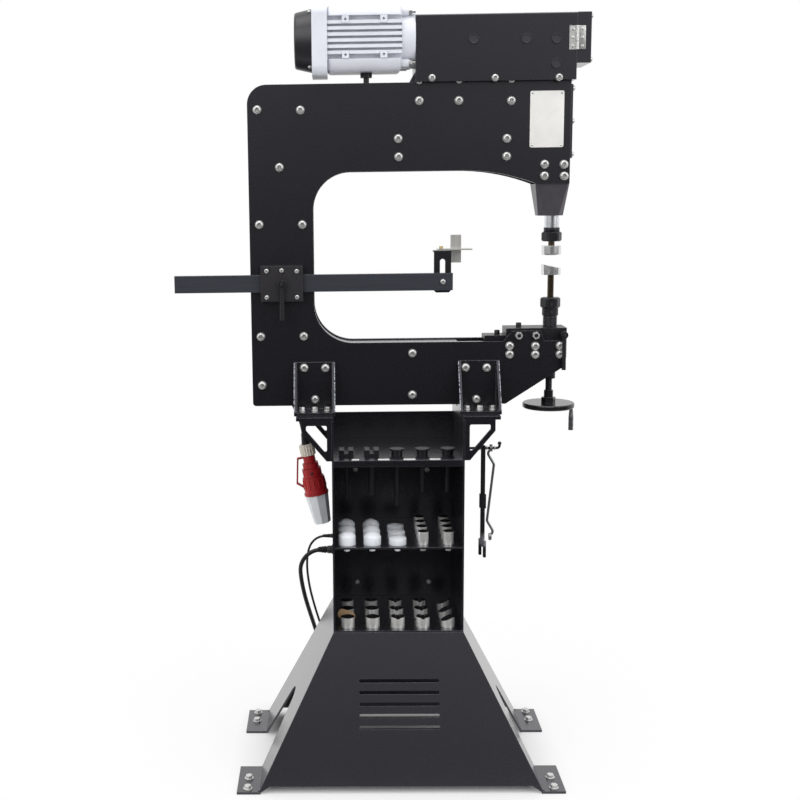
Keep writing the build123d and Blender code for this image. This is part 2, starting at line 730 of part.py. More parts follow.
# Drive housing, closed, with a sloping foot under the motor and the fixed hinge leaf
half_housing = HOUSING_DEPTH / 2
housing_right = frame_right + HOUSING_OVERHANG
housing_left = housing_right - HOUSING_LENGTH
housing_top = frame_top + HOUSING_HEIGHT
housing = block((housing_left, housing_right), both_sides(half_housing), (frame_top, housing_top))
housing = fillet(housing.edges().filter_by(Axis.X).group_by(Axis.Z)[-1], HOUSING_EDGE_R)
housing += slab_y([(housing_left - HOUSING_FOOT_RUN, frame_top), (housing_left, frame_top),
                   (housing_left, frame_top + HOUSING_FOOT_HEIGHT)], both_sides(half_frame))
save(housing, "drive_housing")
pin_x = housing_right + DOOR_GAP / 2
pin_y = -half_housing - HINGE_KNUCKLE / 2 - DOOR_GAP
leaf_y = (-half_housing - HINGE_SHEET, -half_housing)
hinge_bottom = housing_top - HINGE_DROP - HINGE_LENGTH
knuckle_z = [hinge_bottom + HINGE_LENGTH * row / 3 for row in range(4)]
hinge_z = (knuckle_z[0], knuckle_z[3])


def hinge_barrel(row, diameter, gap=0.0):
    """One third of the hinge barrel, let in or out at its ends by a gap."""
    return post(pin_x, pin_y, knuckle_z[row] - gap, knuckle_z[row + 1] + gap, diameter)


fixed_leaf = block((housing_right - HINGE_LEAF, housing_right), leaf_y, hinge_z)
fixed_leaf += hinge_barrel(0, HINGE_KNUCKLE) + hinge_barrel(2, HINGE_KNUCKLE)
fixed_leaf -= hinge_barrel(1, HINGE_KNUCKLE + 2 * DOOR_GAP)
fixed_leaf += post(pin_x, pin_y, hinge_z[0], hinge_z[1], HINGE_PIN)
save(fixed_leaf, "hinge_leaf")

# End door: a folded tray with its hinge leaf
door_x = (housing_right + DOOR_GAP, housing_right + DOOR_GAP + DOOR_DEPTH)
door_bottom = housing_top - DOOR_HEIGHT
door = block(door_x, both_sides(half_housing), (door_bottom, housing_top))
door -= block((door_x[0] - CUT_OVERRUN, door_x[1] - DOOR_SHEET), both_sides(half_housing - DOOR_SHEET),
              (door_bottom + DOOR_SHEET, housing_top - DOOR_SHEET))
door_leaf = block((door_x[0], door_x[0] + HINGE_LEAF), leaf_y, hinge_z)
door_leaf -= hinge_barrel(0, HINGE_KNUCKLE + 2 * DOOR_GAP, DOOR_GAP)
door_leaf -= hinge_barrel(2, HINGE_KNUCKLE + 2 * DOOR_GAP, DOOR_GAP)
door_leaf += hinge_barrel(1, HINGE_KNUCKLE, -DOOR_GAP)
door_leaf -= hinge_barrel(1, HINGE_PIN + 2 * RUNNING_FIT)
save(door + door_leaf, "end_door")

# Motor: finned body between an end shield and a round bell, all on one axis
motor_z = frame_top + MOTOR_CLEARANCE + MOTOR_HALF_HEIGHT
bell_left = housing_left - BELL_LENGTH
body_left = bell_left - MOTOR_BODY_LENGTH
shield_left = body_left - SHIELD_LENGTH
cover_left = shield_left - COVER_LENGTH


def motor_section(x):
    """Plane across the motor's axis, with Y to the side and Z up."""
    return Plane(origin=(x, 0, motor_z), x_dir=(0, 1, 0), z_dir=(1, 0, 0))


section = RectangleRounded(2 * MOTOR_HALF_WIDTH, 2 * MOTOR_HALF_HEIGHT, MOTOR_CORNER_R)
for y in both_sides(MOTOR_HALF_WIDTH):
    section -= Pos(y, 0) * Rectangle(2 * MOTOR_FIN_DEPTH, MOTOR_WINDOW)
for z in spread(MOTOR_FIN_COUNT, MOTOR_FIN_STEP):
    section += Pos(0, z) * Rectangle(2 * MOTOR_HALF_WIDTH, MOTOR_FIN)
motor = extrude(motor_section(body_left) * section, MOTOR_BODY_LENGTH)
cover_ends = motor.edges().filter_by(Axis.Y).group_by(Axis.Z)
motor = fillet(cover_ends[0] + cover_ends[-1], MOTOR_END_R)
body_middle = (body_left + bell_left) / 2
window_floor = MOTOR_HALF_WIDTH - MOTOR_FIN_DEPTH
pad_face = MOTOR_HALF_WIDTH + PAD_PROUD
for x in spread(2, PAD_SPACING_X):
    for z in spread(2, PAD_SPACING_Z):
        for y in both_sides(1):
            pad_x = body_middle + x
            pad_z = motor_z + z
            motor += block((pad_x - PAD / 2, pad_x + PAD / 2), sorted((y * window_floor, y * pad_face)),
                           (pad_z - PAD / 2, pad_z + PAD / 2))
            motor -= rod((pad_x, y * (pad_face - PAD_HOLE_DEPTH), pad_z),
                         (pad_x, y * (pad_face + CUT_OVERRUN), pad_z), PAD_HOLE)
save(motor, "motor_body")
shield = Pos(0, (SHIELD_TOP - SHIELD_BOTTOM) / 2) * RectangleRounded(
    SHIELD_WIDTH, SHIELD_TOP + SHIELD_BOTTOM, SHIELD_CORNER_R)
save(extrude(motor_section(shield_left) * shield, SHIELD_LENGTH), "motor_rear_ring")
bell = extrude(motor_section(bell_left) * Circle(BELL / 2), BELL_LENGTH)
for y in both_sides(LUG_OUT_Y):
    for z in both_sides(LUG_OUT_Z):
        bell += extrude(motor_section(bell_left) * Pos(y, z) * Circle(LUG / 2), LUG_LENGTH)
save(bell, "motor_end_bell")
fan_cover = spun([(COVER_NARROW / 2, 0), (COVER_WIDE / 2, COVER_LENGTH)])
fan_cover = fillet(fan_cover.edges().filter_by(GeomType.CIRCLE).group_by(Axis.Z)[0], COVER_EDGE_R)
for number in range(GRILLE_COUNT):
    slot = Pos(GRILLE_INNER + GRILLE_LENGTH / 2, 0, 0) * Box(GRILLE_LENGTH, GRILLE_WIDTH, 2 * GRILLE_DEPTH)
    fan_cover -= Rot(0, 0, 360 * number / GRILLE_COUNT) * slot
save(motor_section(cover_left).location * fan_cover, "motor_fan_cover")
conduit_x = bell_left - CONDUIT_OUT
motor_bottom = motor_z - MOTOR_HALF_HEIGHT
conduit = post(conduit_x, 0, motor_bottom - CONDUIT_NUT_HEIGHT, motor_bottom, CONDUIT_NUT)
conduit += post(conduit_x, 0, strip_top, motor_bottom, CONDUIT_NECK)
save(conduit, "motor_conduit")

# Ram guide: square at the nose, with corners cut more and more towards the ram
guide_bottom = nose_bottom - GUIDE_HEIGHT


def cornered(x_size, y_size, corner, z):
    """A rectangle round the ram's guide with its four corners cut off."""
    x, y = x_size / 2, y_size / 2
    points = [(corner - x, -y), (x - corner, -y), (x, corner - y), (x, y - corner),
              (x - corner, y), (corner - x, y), (-x, y - corner), (-x, corner - y)]
    return Pos(DIE_AXIS + GUIDE_OFFSET, 0, z) * make_face(Polyline(*points, close=True))


guide = loft([cornered(GUIDE_BOTTOM_X, GUIDE_BOTTOM_Y, GUIDE_BOTTOM_CORNER, guide_bottom),
              cornered(GUIDE_TOP_X, GUIDE_TOP_Y, GUIDE_TOP_CORNER, nose_bottom)])
guide -= post(DIE_AXIS, 0, guide_bottom - CUT_OVERRUN, nose_bottom + CUT_OVERRUN, RAM + 2 * RUNNING_FIT)
save(guide, "ram_guide")
ram_bottom = guide_bottom - RAM_STICK_OUT
save(post(DIE_AXIS, 0, ram_bottom, nose_bottom + RAM_INSIDE, RAM), "ram")


def collet_nut(bottom, height):
    """A six-sided nut with its corners turned down and its ends bevelled."""
    r = NUT / 2
    flats = extrude(RegularPolygon(NUT_FLATS / 2, 6, major_radius=False), height)
    flats &= spun([(r - NUT_BEVEL, 0), (r, NUT_BEVEL), (r, height - NUT_BEVEL), (r - NUT_BEVEL, height)])
    return Pos(DIE_AXIS, 0, bottom) * flats


upper_nut_bottom = ram_bottom - NUT_HEIGHT
save(collet_nut(upper_nut_bottom, NUT_HEIGHT), "upper_collet_nut")
upper_die_top = upper_nut_bottom - UPPER_SHANK_LENGTH
upper_die_bottom = upper_die_top - DIE_HEIGHT
upper_die = post(DIE_AXIS, 0, upper_die_bottom, upper_die_top, DIE)
upper_die = fillet(upper_die.edges().filter_by(GeomType.CIRCLE).group_by(Axis.Z)[0], DIE_CROWN)
upper_die += post(DIE_AXIS, 0, upper_die_top, upper_nut_bottom, DIE_SHANK)
save(upper_die, "upper_die")

# Lower die and anvil post
lower_die_top = upper_die_bottom - DIE_GAP
lower_die_bottom = lower_die_top - LOWER_DIE_HEIGHT
lower_die = post(DIE_AXIS, 0, lower_die_bottom, lower_die_top, DIE)
lower_die -= slab_y([(DIE_AXIS - DIE / 2, lower_die_top), (DIE_AXIS + DIE / 2, lower_die_top),
                     (DIE_AXIS + DIE / 2, lower_die_top - LOWER_DIE_SLOPE)], both_sides(DIE))
lower_nut_top = lower_die_bottom - LOWER_SHANK_LENGTH
lower_die += post(DIE_AXIS, 0, lower_nut_top, lower_die_bottom, DIE_SHANK)
save(lower_die, "lower_die")
lower_nut_bottom = lower_nut_top - LOWER_NUT_HEIGHT
save(collet_nut(lower_nut_bottom, LOWER_NUT_HEIGHT), "lower_collet_nut")
collar_bottom = lower_nut_bottom - COLLAR_HEIGHT
post_bottom = collar_bottom - POST_LENGTH
bore_top = lower_nut_bottom - POST_BORE_ROOF
anvil_post = post(DIE_AXIS, 0, collar_bottom, lower_nut_bottom, COLLAR)
anvil_post += post(DIE_AXIS, 0, post_bottom, collar_bottom, POST)
anvil_post -= post(DIE_AXIS, 0, post_bottom - CUT_OVERRUN, bore_top, SCREW + 2 * SCREW_CLEARANCE)
save(anvil_post, "anvil_post")

# Clamp block that holds the post, bolted between the plates
block_right = frame_right + BLOCK_STAND_OUT
block_left = block_right - BLOCK_LENGTH
block_top = throat_floor + BLOCK_RISE
block_bottom = block_top - BLOCK_HEIGHT
block_cut = (block_bottom - CUT_OVERRUN, block_top + CUT_OVERRUN)
clamp_block = block((block_left, block_right), both_sides(core), (block_bottom, block_top))
clamp_block += block((block_left - TAB_LENGTH, block_left), both_sides(TAB_WIDTH / 2),
                     (throat_floor, throat_floor + TAB_HEIGHT))
clamp_block -= post(DIE_AXIS, 0, block_cut[0], block_cut[1], POST + 2 * RUNNING_FIT)
clamp_block -= block((DIE_AXIS, block_right + CUT_OVERRUN), both_sides(CLAMP_SLIT / 2), block_cut)
save(clamp_block, "anvil_block")

# Nut of the elevating screw: a boss through a strip that follows the sloping lower edge
boss_bottom = chin_height(DIE_AXIS) - NUT_HOUSING_DROP
boss_top = chin_height(DIE_AXIS + NUT_HOUSING / 2) + strip_in
bridge_x = (DIE_AXIS - NUT_HOUSING, frame_right)
bridge = slab_y([(bridge_x[0], chin_height(bridge_x[0]) + STRIP_INSET),
                 (bridge_x[1], chin_height(bridge_x[1]) + STRIP_INSET),
                 (bridge_x[1], chin_height(bridge_x[1]) + strip_in),
                 (bridge_x[0], chin_height(bridge_x[0]) + strip_in)], both_sides(core))
boss = post(DIE_AXIS, 0, boss_bottom, boss_top, NUT_HOUSING) + bridge
boss -= post(DIE_AXIS, 0, boss_bottom - CUT_OVERRUN, boss_top + CUT_OVERRUN, SCREW + 2 * RUNNING_FIT)
save(boss, "screw_nut_housing")

# Elevating screw, handwheel and crank handle
screw_collar_top = boss_bottom - SCREW_DROP
screw_collar_bottom = screw_collar_top - SCREW_COLLAR_HEIGHT
wheel_bottom = screw_collar_bottom - HUB_HEIGHT
wheel_r = WHEEL / 2
wheel = Pos(DIE_AXIS, 0, wheel_bottom) * spun([
    (wheel_r - WHEEL_BEVEL, 0), (wheel_r, WHEEL_BEVEL), (wheel_r, WHEEL_RIM - WHEEL_BEVEL),
    (wheel_r - WHEEL_BEVEL, WHEEL_RIM)])
wheel += Pos(DIE_AXIS, 0, wheel_bottom) * extrude(RegularPolygon(HUB / 2, 6), HUB_HEIGHT)
wheel += post(DIE_AXIS, 0, screw_collar_bottom, screw_collar_top, SCREW_COLLAR)
wheel += post(DIE_AXIS, 0, screw_collar_bottom, bore_top - SCREW_HEAD_ROOM, SCREW)
crank_x = DIE_AXIS + CRANK_OUT
grip_top = wheel_bottom - CRANK_DROP
wheel += post(crank_x, 0, grip_top, wheel_bottom + WHEEL_RIM / 2, CRANK_ROD)
save(wheel, "handwheel")
grip = spun([(GRIP / 2, 0), (GRIP / 2, GRIP_LENGTH - GRIP_TAPER), (GRIP_NECK / 2, GRIP_LENGTH)])
save(Pos(crank_x, 0, grip_top - GRIP_LENGTH) * grip, "crank_grip")


# Lock levers: a hub with a tapering handle that hangs from it
def lock_lever(x, z, face, hub_length, hub, arm, tip, arm_length):
    front = face - hub_length
    arm_y = front + tip / 2
    lever = rod((x, front, z), (x, face, z), hub)
    return lever + tapered((x, arm_y, z), (x, arm_y, z - arm_length), arm, tip)


lock_x = block_right - LOCK_INSET
lock_z = block_top - LOCK_DROP
lock_length = LOCK_HUB_LENGTH + PLATE - SLIDE_GAP
save(lock_lever(lock_x, lock_z, -core - SLIDE_GAP, lock_length, LOCK_HUB, LOCK_ARM, LOCK_ARM_TIP,
                LOCK_ARM_LENGTH), "anvil_lock_lever")

# Guide arm and its clamp
arm_right = throat_left + ARM_REACH
arm_bottom = throat_floor + ARM_RISE
arm_y = (-half_frame - SLIDE_GAP - ARM_THICKNESS, -half_frame - SLIDE_GAP)
arm_z = (arm_bottom, arm_bottom + ARM_HEIGHT)
arm_mid = arm_bottom + ARM_HEIGHT / 2
save(block((arm_right - ARM_LENGTH, arm_right), arm_y, arm_z), "guide_arm")
channel_y = arm_y[0] - SLIDE_GAP
clamp_face = channel_y - CLAMP_PLATE
clamp_x = (spine_middle - CLAMP_WIDTH / 2, spine_middle + CLAMP_WIDTH / 2)
clamp_z = (arm_mid - CLAMP_HEIGHT / 2, arm_mid + CLAMP_HEIGHT / 2)
clamp = block(clamp_x, (clamp_face, channel_y), clamp_z)
for z in ((clamp_z[0], arm_z[0] - SLIDE_GAP), (arm_z[1] + SLIDE_GAP, clamp_z[1])):
    clamp += block(clamp_x, (channel_y, -half_frame), z)
save(clamp, "arm_clamp")
save(lock_lever(spine_middle, arm_mid, clamp_face - SLIDE_GAP, ARM_LOCK_HUB_LENGTH - SLIDE_GAP, ARM_LOCK_HUB,
                ARM_LOCK_ARM, ARM_LOCK_TIP, ARM_LOCK_ARM_LENGTH), "arm_lock_lever")

# Work stop: a slotted bracket behind the arm's end, with its flange bent back
stop_y = (arm_y[1] + SLIDE_GAP, arm_y[1] + SLIDE_GAP + STOP_SHEET)
stop_x = (arm_right - STOP_INSET - STOP_WIDTH, arm_right - STOP_INSET)
stop_bottom = arm_bottom - STOP_OVERHANG
stop_top = stop_bottom + STOP_HEIGHT
stop_mid = (stop_x[0] + stop_x[1]) / 2
stop = slab_y([(stop_x[0], stop_top), (stop_x[1], stop_top), (stop_x[1], stop_bottom + STOP_CORNER),
               (stop_x[1] - STOP_CORNER, stop_bottom), (stop_x[0] + STOP_CORNER, stop_bottom),
               (stop_x[0], stop_bottom + STOP_CORNER)], stop_y)
slot_middle = stop_bottom + SLOT_UP + SLOT_LENGTH / 2
slot = Plane.XZ.offset(-stop_y[1] - CUT_OVERRUN) * Pos(stop_mid, slot_middle) * Rot(0, 0, 90) * SlotOverall(
    SLOT_LENGTH, SLOT_WIDTH)
stop -= extrude(slot, STOP_SHEET + 2 * CUT_OVERRUN)
flange_y = (stop_y[0], stop_y[1] + STOP_FLANGE)
stop += block(stop_x, flange_y, (stop_top - STOP_SHEET, stop_top))
save(stop, "stop_bracket")
tongue_x = (stop_x[0] + TONGUE_INSET, stop_x[0] + TONGUE_INSET + TONGUE_LENGTH)
tongue_y = (flange_y[1] - TONGUE_WIDTH / 2, flange_y[1] + TONGUE_WIDTH / 2)
vane_x = (tongue_x[0] + VANE_INSET, tongue_x[0] + VANE_INSET + VANE_WIDTH)
vane_z = (stop_top + VANE_RISE - VANE_HEIGHT, stop_top + VANE_RISE)
vanes = block(tongue_x, tongue_y, (stop_top, stop_top + VANE_SHEET))
vanes += block(vane_x, (flange_y[1], flange_y[1] + VANE_SHEET), vane_z)
save(vanes, "stop_vanes")

# Electrical box with its raised door and two hinge barrels
ebox_y = (top_y, top_y + EBOX_DEPTH)
half_ebox = EBOX_WIDTH / 2
ebox_z = (shelf_top + EBOX_LIFT, shelf_top + EBOX_LIFT + EBOX_HEIGHT)
ebox = block(both_sides(half_ebox), ebox_y, ebox_z)
ebox = fillet(ebox.edges().filter_by(Axis.Y), EBOX_EDGE_R)
ebox += block(both_sides(half_ebox - EBOX_DOOR_RIM), (ebox_y[1], ebox_y[1] + EBOX_DOOR),
              (ebox_z[0] + EBOX_DOOR_RIM, ebox_z[1] - EBOX_DOOR_RIM))
for z in (ebox_z[0] + EBOX_HINGE_INSET, ebox_z[1] - EBOX_HINGE_INSET - EBOX_HINGE_LENGTH):
    ebox += post(half_ebox - EBOX_DOOR_RIM, ebox_y[1], z, z + EBOX_HINGE_LENGTH, EBOX_HINGE)
save(ebox, "electrical_box")


# Cable glands: a nut on the wall and a cap with the cable's hole
def gland(origin, direction, cable):
    """A gland standing on a wall, and the point where its cable comes out."""
    direction = Vector(direction).normalized()
    nut_end = Vector(origin) + direction * (cable * GLAND_NUT_HEIGHT_SHARE)
    cap_end = nut_end + direction * (cable * GLAND_CAP_HEIGHT_SHARE)
    nut = rod(origin, nut_end, cable * GLAND_NUT_SHARE)
    return nut + rod(nut_end, cap_end, cable * GLAND_CAP_SHARE), cap_end


rear_lean = (toe_y - top_y) / BASE_HEIGHT
rear_normal = (0, 1, rear_lean)
gland_y = top_y + EBOX_DEPTH / 2


def on_rear_plate(x, z):
    return (x, toe_y - z * rear_lean, z)


thick_out, thick_start = gland((-half_ebox, gland_y, ebox_z[0] + THICK_GLAND_UP), (-1, 0, 0), THICK_CABLE)
thin_out, thin_start = gland((-half_ebox, gland_y, ebox_z[0] + THIN_GLAND_UP), (-1, 0, 0), THIN_CABLE)
thick_in, thick_end = gland(on_rear_plate(THICK_ENTRY_X, THICK_ENTRY_Z), rear_normal, THICK_CABLE)
thin_in, thin_end = gland(on_rear_plate(THIN_ENTRY_X, THIN_ENTRY_Z), rear_normal, THIN_CABLE)
plug_out, plug_start = gland((frame_left + FRAME_GLAND_IN, half_frame, frame_bottom + FRAME_GLAND_UP),
                             (0, 1, 0), THICK_CABLE)
save(Compound([thick_out, thin_out, thick_in, thin_in, plug_out]), "cable_glands")

# Supply plug: spun pieces on one leaning axis, with a lever beside the red body
lean = math.radians(PLUG_LEAN)
plug_axis = Vector(math.sin(lean), 0, -math.cos(lean))
plug_top = Vector(-top_x - PLUG_OUT, PLUG_BACK, column_top - PLUG_DROP)
plug_place = Plane(origin=plug_top, x_dir=(-math.cos(lean), 0, -math.sin(lean)), z_dir=plug_axis).location
nut_at = PLUG_GLAND_LENGTH
neck_at = nut_at + PLUG_NUT_LENGTH
step_at = neck_at + PLUG_NECK_LENGTH
body_at = step_at + PLUG_STEP_LENGTH
collar_at = body_at + PLUG_BODY_LENGTH
rim_at = collar_at + PLUG_COLLAR_LENGTH - PLUG_RIM
cap_at = rim_at + PLUG_RIM
cap_end = cap_at + PLUG_CAP_LENGTH
save(plug_place * spun([(PLUG_GLAND / 2, 0), (PLUG_GLAND / 2, nut_at)]), "plug_gland")
save(plug_place * spun([(PLUG_NUT / 2, nut_at), (PLUG_NUT / 2, neck_at)]), "plug_nut")
plug_body = spun([(PLUG_NECK / 2, neck_at), (PLUG_NECK / 2, step_at), (PLUG_STEP / 2, step_at),
                  (PLUG_STEP / 2, body_at), (PLUG_BODY / 2, body_at), (PLUG_BODY / 2, collar_at),
                  (PLUG_SKIRT / 2, collar_at), (PLUG_COLLAR / 2 - LEVER_SHEET / 2, rim_at),
                  (PLUG_COLLAR / 2, rim_at), (PLUG_COLLAR / 2, cap_at)])
lever_out = PLUG_NECK / 2 + LEVER_GAP
lever_at = neck_at + LEVER_SHEET
lever_line = Polyline((PLUG_NECK / 2 - LEVER_SHEET, lever_at), (lever_out, lever_at),
                      (lever_out + LEVER_FLARE, lever_at + LEVER_LENGTH),
                      (PLUG_SKIRT / 2 - LEVER_SHEET, lever_at + LEVER_LENGTH + LEVER_FOOT))
lever = extrude(Plane.XZ * trace(lever_line, LEVER_SHEET), LEVER_WIDTH / 2, both=True)
save(plug_place * (plug_body + lever), "plug_body")
plug_cap = loft([Pos(0, 0, cap_at) * RegularPolygon(PLUG_CAP_TOP / 2, PLUG_CAP_SIDES),
                 Pos(0, 0, cap_end) * RegularPolygon(PLUG_CAP_BOTTOM / 2, PLUG_CAP_SIDES)])
plug_cap -= spun([(PLUG_CAP_BOTTOM / 2 - PLUG_WALL, cap_end - PLUG_SOCKET_DEPTH),
                  (PLUG_CAP_BOTTOM / 2 - PLUG_WALL, cap_end + CUT_OVERRUN)])
save(plug_place * plug_cap, "plug_cap")


# Leads: straight runs joined by the largest arcs that the runs allow
def route(start, first_steps, last_steps, end):
    """Points of a lead: its ends, and the turning points measured from each of them."""
    return [start] + [start + Vector(step) for step in first_steps] + [
        end + Vector(step) for step in last_steps] + [end]


def cord(points, diameter, node):
    radii = []
    for before, here, after in zip(points, points[1:], points[2:]):
        turn = math.radians((here - before).get_angle(after - here))
        shorter = min((here - before).length, (after - here).length)
        radii.append(CORD_ARC_SHARE * shorter / math.tan(turn / 2))
    path = FilletPolyline(*points, radius=radii)
    tube = sweep(Plane(origin=path @ 0, z_dir=path % 0) * Circle(diameter / 2), path=path)
    ideal = math.pi * diameter ** 2 / 4 * path.length
    print(node, "length", round(path.length), "radii", [round(r) for r in radii],
          "volume", round(tube.volume / ideal, 4))
    print("  ends", [round(v, 1) for v in points[0]], [round(v, 1) for v in points[-1]])
    save(tube, node)


cord(route(thick_start, POWER_FROM_BOX, POWER_TO_BASE, thick_end), THICK_CABLE, "power_lead")
cord(route(thin_start, CONTROL_FROM_BOX, CONTROL_TO_BASE, thin_end), THIN_CABLE, "control_lead")
cord(route(plug_start, PLUG_FROM_FRAME, PLUG_TO_NUT, plug_top), THICK_CABLE, "plug_lead")

# Tool hook: a bent rod on the right panel
hook_y = HOOK_BACK - top_y
hook_z = column_top - HOOK_DROP
hook_end = top_x + HOOK_REACH
hook_line = FilletPolyline((top_x, hook_y, hook_z), (hook_end, hook_y, hook_z),
                           (hook_end, hook_y, hook_z + HOOK_TIP), radius=HOOK_ROD)
hook = sweep(Plane(origin=hook_line @ 0, z_dir=hook_line % 0) * Circle(HOOK_ROD / 2), path=hook_line)
save(hook, "tool_hook")
hook_hole = rod((top_x, hook_y, hook_z), (hook_end - 2 * HOOK_ROD, hook_y, hook_z),
                HOOK_ROD + 2 * RACK_HOLE_GAP)

# Fork spanner: a flat bar with a thicker grip and a forked foot, turned a little on the hook
spanner_top = SPANNER_WIDTH / 2
spanner_bottom = spanner_top - SPANNER_LENGTH
spanner_x = both_sides(SPANNER_SHEET / 2)
spanner = block(spanner_x, both_sides(SPANNER_WIDTH / 2), (spanner_bottom, spanner_top))
spanner += block(both_sides(SPANNER_SHEET / 2 + GRIP_PLATE), both_sides(SPANNER_WIDTH / 2),
                 (-GRIP_PLATE_DROP - GRIP_PLATE_LENGTH, -GRIP_PLATE_DROP))
spanner += block(spanner_x, both_sides(FORK_WIDTH / 2), (spanner_bottom, spanner_bottom + FORK_LENGTH))
spanner -= block(both_sides(SPANNER_SHEET), both_sides(FORK_JAW / 2),
                 (spanner_bottom - CUT_OVERRUN, spanner_bottom + FORK_DEPTH))
spanner = Pos(top_x + SPANNER_OUT, hook_y, hook_z) * Rot(0, 0, SPANNER_TURN) * spanner
save(spanner - hook_hole, "fork_spanner")

# Ring spanner: a cranked rod between two ring heads
ring_x = top_x + RING_OUT
ring_foot = hook_z - RING_LENGTH


def ring_head(x, z):
    head = rod((x - RING_HEAD_SHEET / 2, hook_y, z), (x + RING_HEAD_SHEET / 2, hook_y, z), RING_HEAD)
    return head, rod((x - RING_HEAD_SHEET, hook_y, z), (x + RING_HEAD_SHEET, hook_y, z), RING_BORE)


ring_line = FilletPolyline(
    (ring_x, hook_y, hook_z), (ring_x - RING_CRANK / 2, hook_y, hook_z - RING_CRANK_RUN / 2),
    (ring_x + RING_CRANK / 2, hook_y, hook_z - RING_CRANK_RUN * 3 / 2),
    (ring_x - RING_CRANK / 2, hook_y, ring_foot + RING_CRANK_RUN * 3 / 2),
    (ring_x + RING_CRANK / 2, hook_y, ring_foot + RING_CRANK_RUN / 2), (ring_x, hook_y, ring_foot),
    radius=RING_BEND_R)
shank = sweep(Plane(origin=ring_line @ 0, z_dir=ring_line % 0) * Circle(RING_ROD / 2), path=ring_line)
upper_head, upper_bore = ring_head(ring_x, hook_z)
lower_head, lower_bore = ring_head(ring_x, ring_foot)
save(shank + upper_head + lower_head - hook_hole - lower_bore, "ring_spanner")
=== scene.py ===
"""Looks of a sheet-metal power hammer with a deep throat, on a flared stand with a die rack.

Metres, +Z up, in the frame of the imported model. X runs along the throat towards the dies.
"""
import math

import bmesh
import bpy
from mathutils import Matrix, Vector


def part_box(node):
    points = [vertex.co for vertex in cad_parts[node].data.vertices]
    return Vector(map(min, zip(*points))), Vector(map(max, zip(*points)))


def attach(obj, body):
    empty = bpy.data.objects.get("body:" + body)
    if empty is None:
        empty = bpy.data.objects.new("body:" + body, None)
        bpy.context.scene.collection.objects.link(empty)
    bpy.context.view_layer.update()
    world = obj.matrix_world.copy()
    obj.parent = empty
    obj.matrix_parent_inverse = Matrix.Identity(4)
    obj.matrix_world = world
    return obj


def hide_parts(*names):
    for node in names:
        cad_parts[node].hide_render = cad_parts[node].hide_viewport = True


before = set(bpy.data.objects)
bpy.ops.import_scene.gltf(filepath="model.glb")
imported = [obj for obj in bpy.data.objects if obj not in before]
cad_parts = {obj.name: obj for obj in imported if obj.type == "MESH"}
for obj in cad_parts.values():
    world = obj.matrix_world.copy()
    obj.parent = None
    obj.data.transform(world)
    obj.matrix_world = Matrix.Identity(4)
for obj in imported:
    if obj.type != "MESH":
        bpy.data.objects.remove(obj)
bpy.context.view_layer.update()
scene = bpy.context.scene
scene.view_settings.view_transform = "Standard"


# Studio: white paper under and behind the machine, a dim room in front of it, and three soft boxes.
# The camera stands a little left of the throat at chest height, looking slightly down.
def linear(colour):
    """An sRGB hex colour as a linear RGBA value."""
    channels = [int(colour[i:i + 2], 16) / 255 for i in (1, 3, 5)]
    return [c / 12.92 if c <= 0.04045 else ((c + 0.055) / 1.055) ** 2.4 for c in channels] + [1]


def join(tree, node, inputs):
    """Give a node its inputs: a node or an output is linked, a hex colour or a number is set."""
    for name, value in inputs.items():
        if isinstance(value, bpy.types.Node):
            value = next(output for output in value.outputs if output.enabled)
        if isinstance(value, bpy.types.NodeSocket):
            tree.links.new(value, node.inputs[name])
        else:
            node.inputs[name].default_value = linear(value) if isinstance(value, str) else value


def add(tree, kind, inputs=None, **settings):
    """Add one node with its settings and its inputs."""
    made = tree.nodes.new("ShaderNode" + kind)
    for name, value in settings.items():
        setattr(made, name, value)
    join(tree, made, inputs or {})
    return made


world = bpy.data.worlds.new("studio")
scene.world = world
world.use_nodes = True
tree = world.node_tree
facing = add(tree, "SeparateXYZ", {"Vector": add(tree, "TexCoord").outputs["Generated"]})
wall = add(tree, "MapRange", {"Value": facing.outputs["Z"], "From Min": -0.04, "From Max": 0.10,
                              "To Min": 0.02, "To Max": 0.27})
ceiling = add(tree, "MapRange", {"Value": facing.outputs["Z"], "From Min": 0.10, "From Max": 0.50,
                                 "To Max": 0.30})
before = add(tree, "Math", {0: wall, 1: ceiling}, operation="ADD")
room = add(tree, "MapRange", {"Value": facing.outputs["Y"], "From Min": -0.995, "From Max": -0.84,
                              "To Min": before, "To Max": 1.0})
seen = add(tree, "LightPath").outputs["Is Camera Ray"]
room = add(tree, "Math", {0: seen, 1: room}, operation="MAXIMUM")
join(tree, tree.nodes["Background"], {"Color": "#FFFFFF", "Strength": room})

# The paper keeps the machine's shadow close by and runs out into the white behind it. In reflections its
# front part is as dim as the room there.
floor_mesh = bmesh.new()
bmesh.ops.create_grid(floor_mesh, x_segments=1, y_segments=1, size=30)
floor_data = bpy.data.meshes.new("floor")
floor_mesh.to_mesh(floor_data)
floor_mesh.free()
floor = bpy.data.objects.new("floor", floor_data)
scene.collection.objects.link(floor)
paper = bpy.data.materials.new("white_studio_paper")
paper.use_nodes = True
floor_data.materials.append(paper)
tree = paper.node_tree
tree.nodes.clear()
rays = add(tree, "LightPath")
place = add(tree, "TexCoord").outputs["Object"]
seen = rays.outputs["Is Camera Ray"]
for ray in ("Is Glossy Ray", "Is Transmission Ray"):
    seen = add(tree, "Math", {0: seen, 1: rays.outputs[ray]}, operation="MAXIMUM")
stand_half = (0.30, 0.20, 0)
shadow_reach = 1.6
away = add(tree, "VectorMath", {0: place}, operation="ABSOLUTE")
away = add(tree, "VectorMath", {0: away, 1: stand_half}, operation="SUBTRACT")
away = add(tree, "VectorMath", {0: away, 1: (0, 0, 0)}, operation="MAXIMUM")
away = add(tree, "VectorMath", {0: away}, operation="LENGTH")
away = add(tree, "MapRange", {"Value": away, "From Max": shadow_reach})
